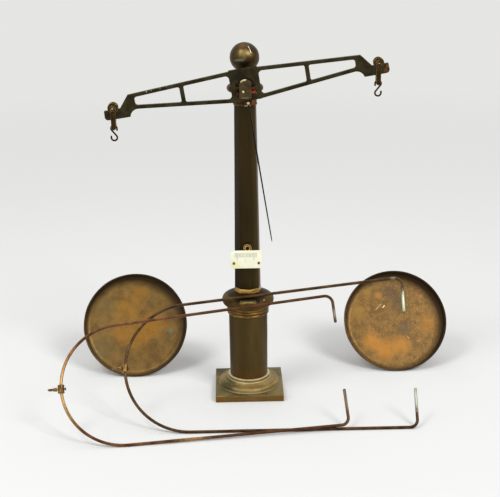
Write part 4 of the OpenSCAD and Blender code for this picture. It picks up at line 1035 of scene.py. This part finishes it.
# %% Set at the ends
SIDES, ENDS = (("left", -1), ("right", 1)), {}
slope = math.radians(TILT)
for name, side in SIDES:
    reach = REACH * side
    ENDS[name] = shift(reach * math.cos(slope), PIVOT_Y, PIVOT_Z + reach * math.sin(slope)) @ FRONT
    for pattern, part, slot in ((fork, "stirrup_", "aged_brass_dark"),
                                (filling, "stirrup_bearings_", "bright_brass"),
                                (pin, "stirrup_pin_", "bright_brass")):
        done(copy_of(pattern, part + name + "_worn", ENDS[name]), "stirrup_" + name, slot, part + name)

# %% [markdown]
# ## S hooks
# Each hook is one short wire bent into two loops. The left one is bent the other way round. Its path starts
# at the open end of the upper loop, which hangs over the stirrup's pin.

# %% Hooks
loop_r, sweep = 4.2, 218.8
for name, side in SIDES:
    path = [3.6, (loop_r, -side * sweep), 10.44, (loop_r, side * sweep), 3.0]
    hook = wire("hook_" + name + "_worn", 1.25, (-side * loop_r, -3.6), 90, path, 14, run=4)
    finish(hook, "hook_copper")
    soften(hook, 0.05, 1, angle=60, smooth=60)
    place(hook, ENDS[name] @ shift(0, -29.55, 0))
    done(hook, "hook_" + name, "hook_copper", "hook_" + name)

# %% [markdown]
# ## Wire bows
# A bow is one long wire: an inward prong, the lower leg, the round end, the upper leg, which opens a
# little, and the other prong. It is bent flat, pierced at the round end for the swivel, and then leant on
# the collar. The lengths of the straight runs follow from the bends, so that the prongs end where they must.

# %% Bow wire
def swivel_bore():
    """A drill for the hole in which the swivel turns."""
    drill = turned("bore", [(0, -8), (1.3, -8), (1.3, 8), (0, 8)], 24)
    place(drill, spin("Y", 90))
    return drill


def bow_wire(name, slot, radius, legs, opening, prongs, seat):
    """The round end has the given radius. The upper leg opens by an angle, and both legs and both prongs
    have their lengths, the lower one first."""
    low, top = legs
    bend, lead = 11, math.radians(opening)
    cut = bend * math.tan(math.radians(90 + opening) / 2)
    start = (-radius * math.sin(lead), radius + radius * math.cos(lead))
    corner = start[1] + top * math.sin(lead)
    middle = start[1] + (top - cut) * math.sin(lead) - bend * math.cos(lead)
    path = [prongs[0] - bend, (bend, -90), low - bend, (radius, opening - 180), top - cut,
            (bend, -90 - opening), middle - corner + prongs[1]]
    bent = wire(name + "_worn", 2.22, (low, prongs[0]), -90, path, 20)
    finish(bent, slot)
    dent(bent, 0.2, 30)
    drill = swivel_bore()
    place(drill, shift(-radius, radius, 0))
    saw(bent, drill)
    soften(bent, 0.05, 1, angle=70, smooth=70)
    place(bent, seat)
    done(bent, name, slot, name)


# %% [markdown]
# At the round end a barrel is pushed over the wire. The swivel goes through both and has a collar
# outside and a ring as its eye.

# %% Barrel and swivel
def barrel_and_swivel(name, radius, seat):
    profile = [(0, -6), (4.2, -6), (4.9, -5.4), (4.9, -4.2), (4.5, -3.8), (4.5, 3.8), (4.9, 4.2), (4.9, 5.4),
               (4.2, 6), (0, 6)]
    barrel = turned(name + "_block_worn", profile, 40)
    saw(barrel, swivel_bore())
    finish(barrel, "barrel brass", "worn edge")
    soften(barrel, 0.3, 2, rubbed=True)
    place(barrel, seat @ shift(-radius, radius, 0) @ spin("X", 90))
    done(barrel, name, "aged_brass_dark", name + "_block")

    profile = [(0, -7), (2, -7), (2.2, -6.6), (2.2, -5.3), (1.1, -5.25), (1.1, 5.25), (2.8, 5.25), (2.8, 6.6),
               (3.0, 6.7), (2.9, 7.4), (2.4, 9), (2.6, 10.4), (2.3, 11.4), (0, 11.4)]
    neck = turned(name + "_neck", profile, 32)
    place(neck, spin("Y", -90))
    idle()
    bpy.ops.mesh.primitive_torus_add(major_radius=3.2 * MM, minor_radius=1.15 * MM, major_segments=32,
                                     minor_segments=12)
    loop = bpy.context.object
    place(loop, shift(-14.65, 0, 0) @ spin("X", 90))
    swivel = joined(name + "_eye_worn", neck, loop)
    finish(swivel, "barrel brass", "worn edge")
    soften(swivel, 0.2, 2, rubbed=True)
    place(swivel, seat @ shift(-radius, radius, 0))
    done(swivel, name + "_swivel", "aged_brass_dark", name + "_eye")


# %% [markdown]
# Both bows stand on the floor with their lower leg and lean on the flange. The front one is also turned a
# little, in plan and in its own plane. The rear one is larger and opens more.

# %% Front and rear bow
front_r, rear_r = 88.5, 95
front_seat = (shift(-175, -184.606, 2.25) @ spin("Z", 6.1) @ spin("X", 50.2) @ shift(0, front_r, 0)
              @ spin("Z", 1.22386) @ shift(0, -front_r, 0))
rear_seat = shift(-86.5, -149.188, 2.25) @ spin("X", 52.4)
bow_wire("bow_front", "bow_wire_front", front_r, (316, 323.5), 3.5, (52.5, 43), front_seat)
barrel_and_swivel("bow_front", front_r, front_seat)
bow_wire("bow_rear", "bow_wire_rear", rear_r, (325.5, 329), 6.3, (57, 53), rear_seat)
barrel_and_swivel("bow_rear", rear_r, rear_seat)

# %% [markdown]
# ## Pans
# Under each pan sit two short blocks, bored from the outside for the prongs of a bow. A block is drawn out of
# its outline like a sheet, bored, and turned to its side of the pan. Both then become one piece.

# %% Pan sockets
def pan_sockets(name, seat):
    blocks = []
    for turn in (0, 180):
        block = sheet("socket", [(53.3, -4.05), (69.3, -4.05), (69.3, 4.05), (53.3, 4.05)], -5.8, 0.1)
        drill = turned("bore", [(0, 0), (2.55, 0), (2.55, 20), (0, 20)], 32)
        place(drill, shift(52, 0, -3.35) @ spin("Y", 90))
        saw(block, drill)
        place(block, spin("Z", turn))
        blocks.append(block)
    sockets = joined("pan_" + name + "_sockets_worn", *blocks)
    finish(sockets, "aged_brass_dark", "worn edge")
    soften(sockets, 0.4, 2, rubbed=True)
    place(sockets, seat)
    done(sockets, "pan_" + name, "aged_brass_dark", "pan_" + name + "_sockets")


# %% [markdown]
# Each pan was raised from sheet brass and its rim rolled over. It is turned as one closed profile, inside
# and outside, and then dented. The soft pattern of the dents stands still in space, so the right pan is
# moved up for its dents and down again, and gets others than the left one. Both stand on their rims and
# lean back.

# %% Pans
parts, flat, rim_r, rim_z = 12, 71.3, 81, 10.5
dish = [(0, 0)] + [(flat * k / parts, 0) for k in range(1, parts + 1)] + arc((flat, 11.3), 11.3, -84, -8, 8)
dish += arc((rim_r, rim_z), 1.5, -20, 200, 10) + arc((flat, 11.3), 9.7, -8, -84, 8)
dish += [(flat * k / parts, 1.6) for k in range(parts, -1, -1)]
for name, metal, x, lean, up, further in (("left", "pan_brass", -179, 30, 72.648, 0),
                                          ("right", "right pan brass", 238, 36, 68.51, 370)):
    pan = turned("pan_" + name + "_worn", dish, 128)
    place(pan, shift(0, 0, further))
    dent(pan, 0.7, 34)
    place(pan, shift(0, 0, -further))
    finish(pan, metal)
    soften(pan, 0.05, 1, angle=60, smooth=60)
    back = 47.5 + rim_r * math.sin(math.radians(lean))
    seat = shift(x, back, up) @ spin("X", 90 - lean) @ shift(0, 0, -rim_z)
    place(pan, seat)
    done(pan, "pan_" + name, "pan_brass", "pan_" + name)
    pan_sockets(name, seat)

# %% [markdown]
# The patterns that were copied are taken away, so that only the scale stays.

# %% Clear the bench
for pattern in (screw_pattern, fork, filling, pin):
    bpy.data.objects.remove(pattern)
print("patterns put away")

# %% [markdown]
# ## Floor, backdrop and light
# A plain pale floor carries the shadow. Far from the scale it fades into a glow of the same colour, so that
# its edge isn't seen. The glow is for the camera and for reflections only, and lights nothing.

# %% Floor
PALE = (0.90, 0.90, 0.89)


def seen_rays(tree):
    """1 for rays that the camera sees, straight or by a reflection or through glass."""
    path = tree.nodes.new("ShaderNodeLightPath")
    total = path.outputs["Is Camera Ray"]
    for name in ("Is Glossy Ray", "Is Transmission Ray"):
        total = maths(tree, "ADD", total, path.outputs[name])
        total.node.use_clamp = True
    return total


def choose(tree, factor, first, second, output):
    """Gives the output node the first shader where the factor is 0 and the second where it is 1."""
    mix = tree.nodes.new("ShaderNodeMixShader")
    for socket, source in zip(mix.inputs, (factor, first, second)):
        tree.links.new(source, socket)
    tree.links.new(mix.outputs[0], output.inputs["Surface"])


idle()
bpy.ops.mesh.primitive_plane_add(size=12.0, location=(0, 1.5, 0))
floor = bpy.context.object
floor.name = "floor"
place(floor, shift(0, 1500, 0))
material, tree, shader = new_material("floor")
shader.inputs["Base Color"].default_value = (*linear(PALE), 1.0)
shader.inputs["Roughness"].default_value = 0.8
shader.inputs["Specular IOR Level"].default_value = 0.1
glow = tree.nodes.new("ShaderNodeEmission")
glow.inputs["Color"].default_value = (*linear(PALE), 1.0)
far = maths(tree, "LENGTH", tree.nodes.new("ShaderNodeTexCoord").outputs["Object"], vector=True)
faded = maths(tree, "MULTIPLY", ramp(tree, far, 0.7, 2.4), seen_rays(tree))
choose(tree, faded, shader.outputs[0], glow.outputs[0], tree.nodes["Material Output"])
floor.data.materials.append(material)
print("floor laid")

# %% [markdown]
# The world is pale for the camera and for reflections only, and soft elsewhere, so the metal shows a
# bright room without being washed out.

# %% World
world = bpy.data.worlds.new("studio")
bpy.context.scene.world = world
world.use_nodes = True
tree = world.node_tree
tree.nodes.clear()
rooms = []
for colour, strength in (((0.95, 0.97, 1.0), 0.45), (linear(PALE), 1.0)):
    room = tree.nodes.new("ShaderNodeBackground")
    room.inputs["Color"].default_value = (*colour, 1.0)
    room.inputs["Strength"].default_value = strength
    rooms.append(room.outputs[0])
choose(tree, seen_rays(tree), *rooms, tree.nodes.new("ShaderNodeOutputWorld"))
print("world lit")

# %% [markdown]
# Four lamps do the rest: the key from the front right gives the shadow, a wide weak one fills it from the
# left, a small window makes the highlights, and a large one from above parts the scale from the backdrop.

# %% Lamps
def area_light(name, spot, aim, size, power):
    lamp = bpy.data.objects.new(name, bpy.data.lights.new(name, "AREA"))
    lamp.data.shape = "RECTANGLE"
    lamp.data.size, lamp.data.size_y = size
    lamp.data.energy = power
    lamp.location = spot
    lamp.rotation_euler = (Vector(aim) - Vector(spot)).to_track_quat("-Z", "Y").to_euler()
    bpy.context.scene.collection.objects.link(lamp)
    print("lamp:", name, power, "W")


area_light("key", (2.6, -2.8, 3.6), (0, 0, 0.25), (1.7, 1.7), 125)
area_light("fill", (-3.6, -2.6, 2.4), (0, 0, 0.25), (2.8, 2.8), 40)
area_light("window", (-1.3, -0.9, 2.5), (0, 0, 0.3), (0.9, 0.7), 20)
area_light("top", (0.0, 1.5, 5.0), (0, 0, 0), (4.0, 4.0), 60)
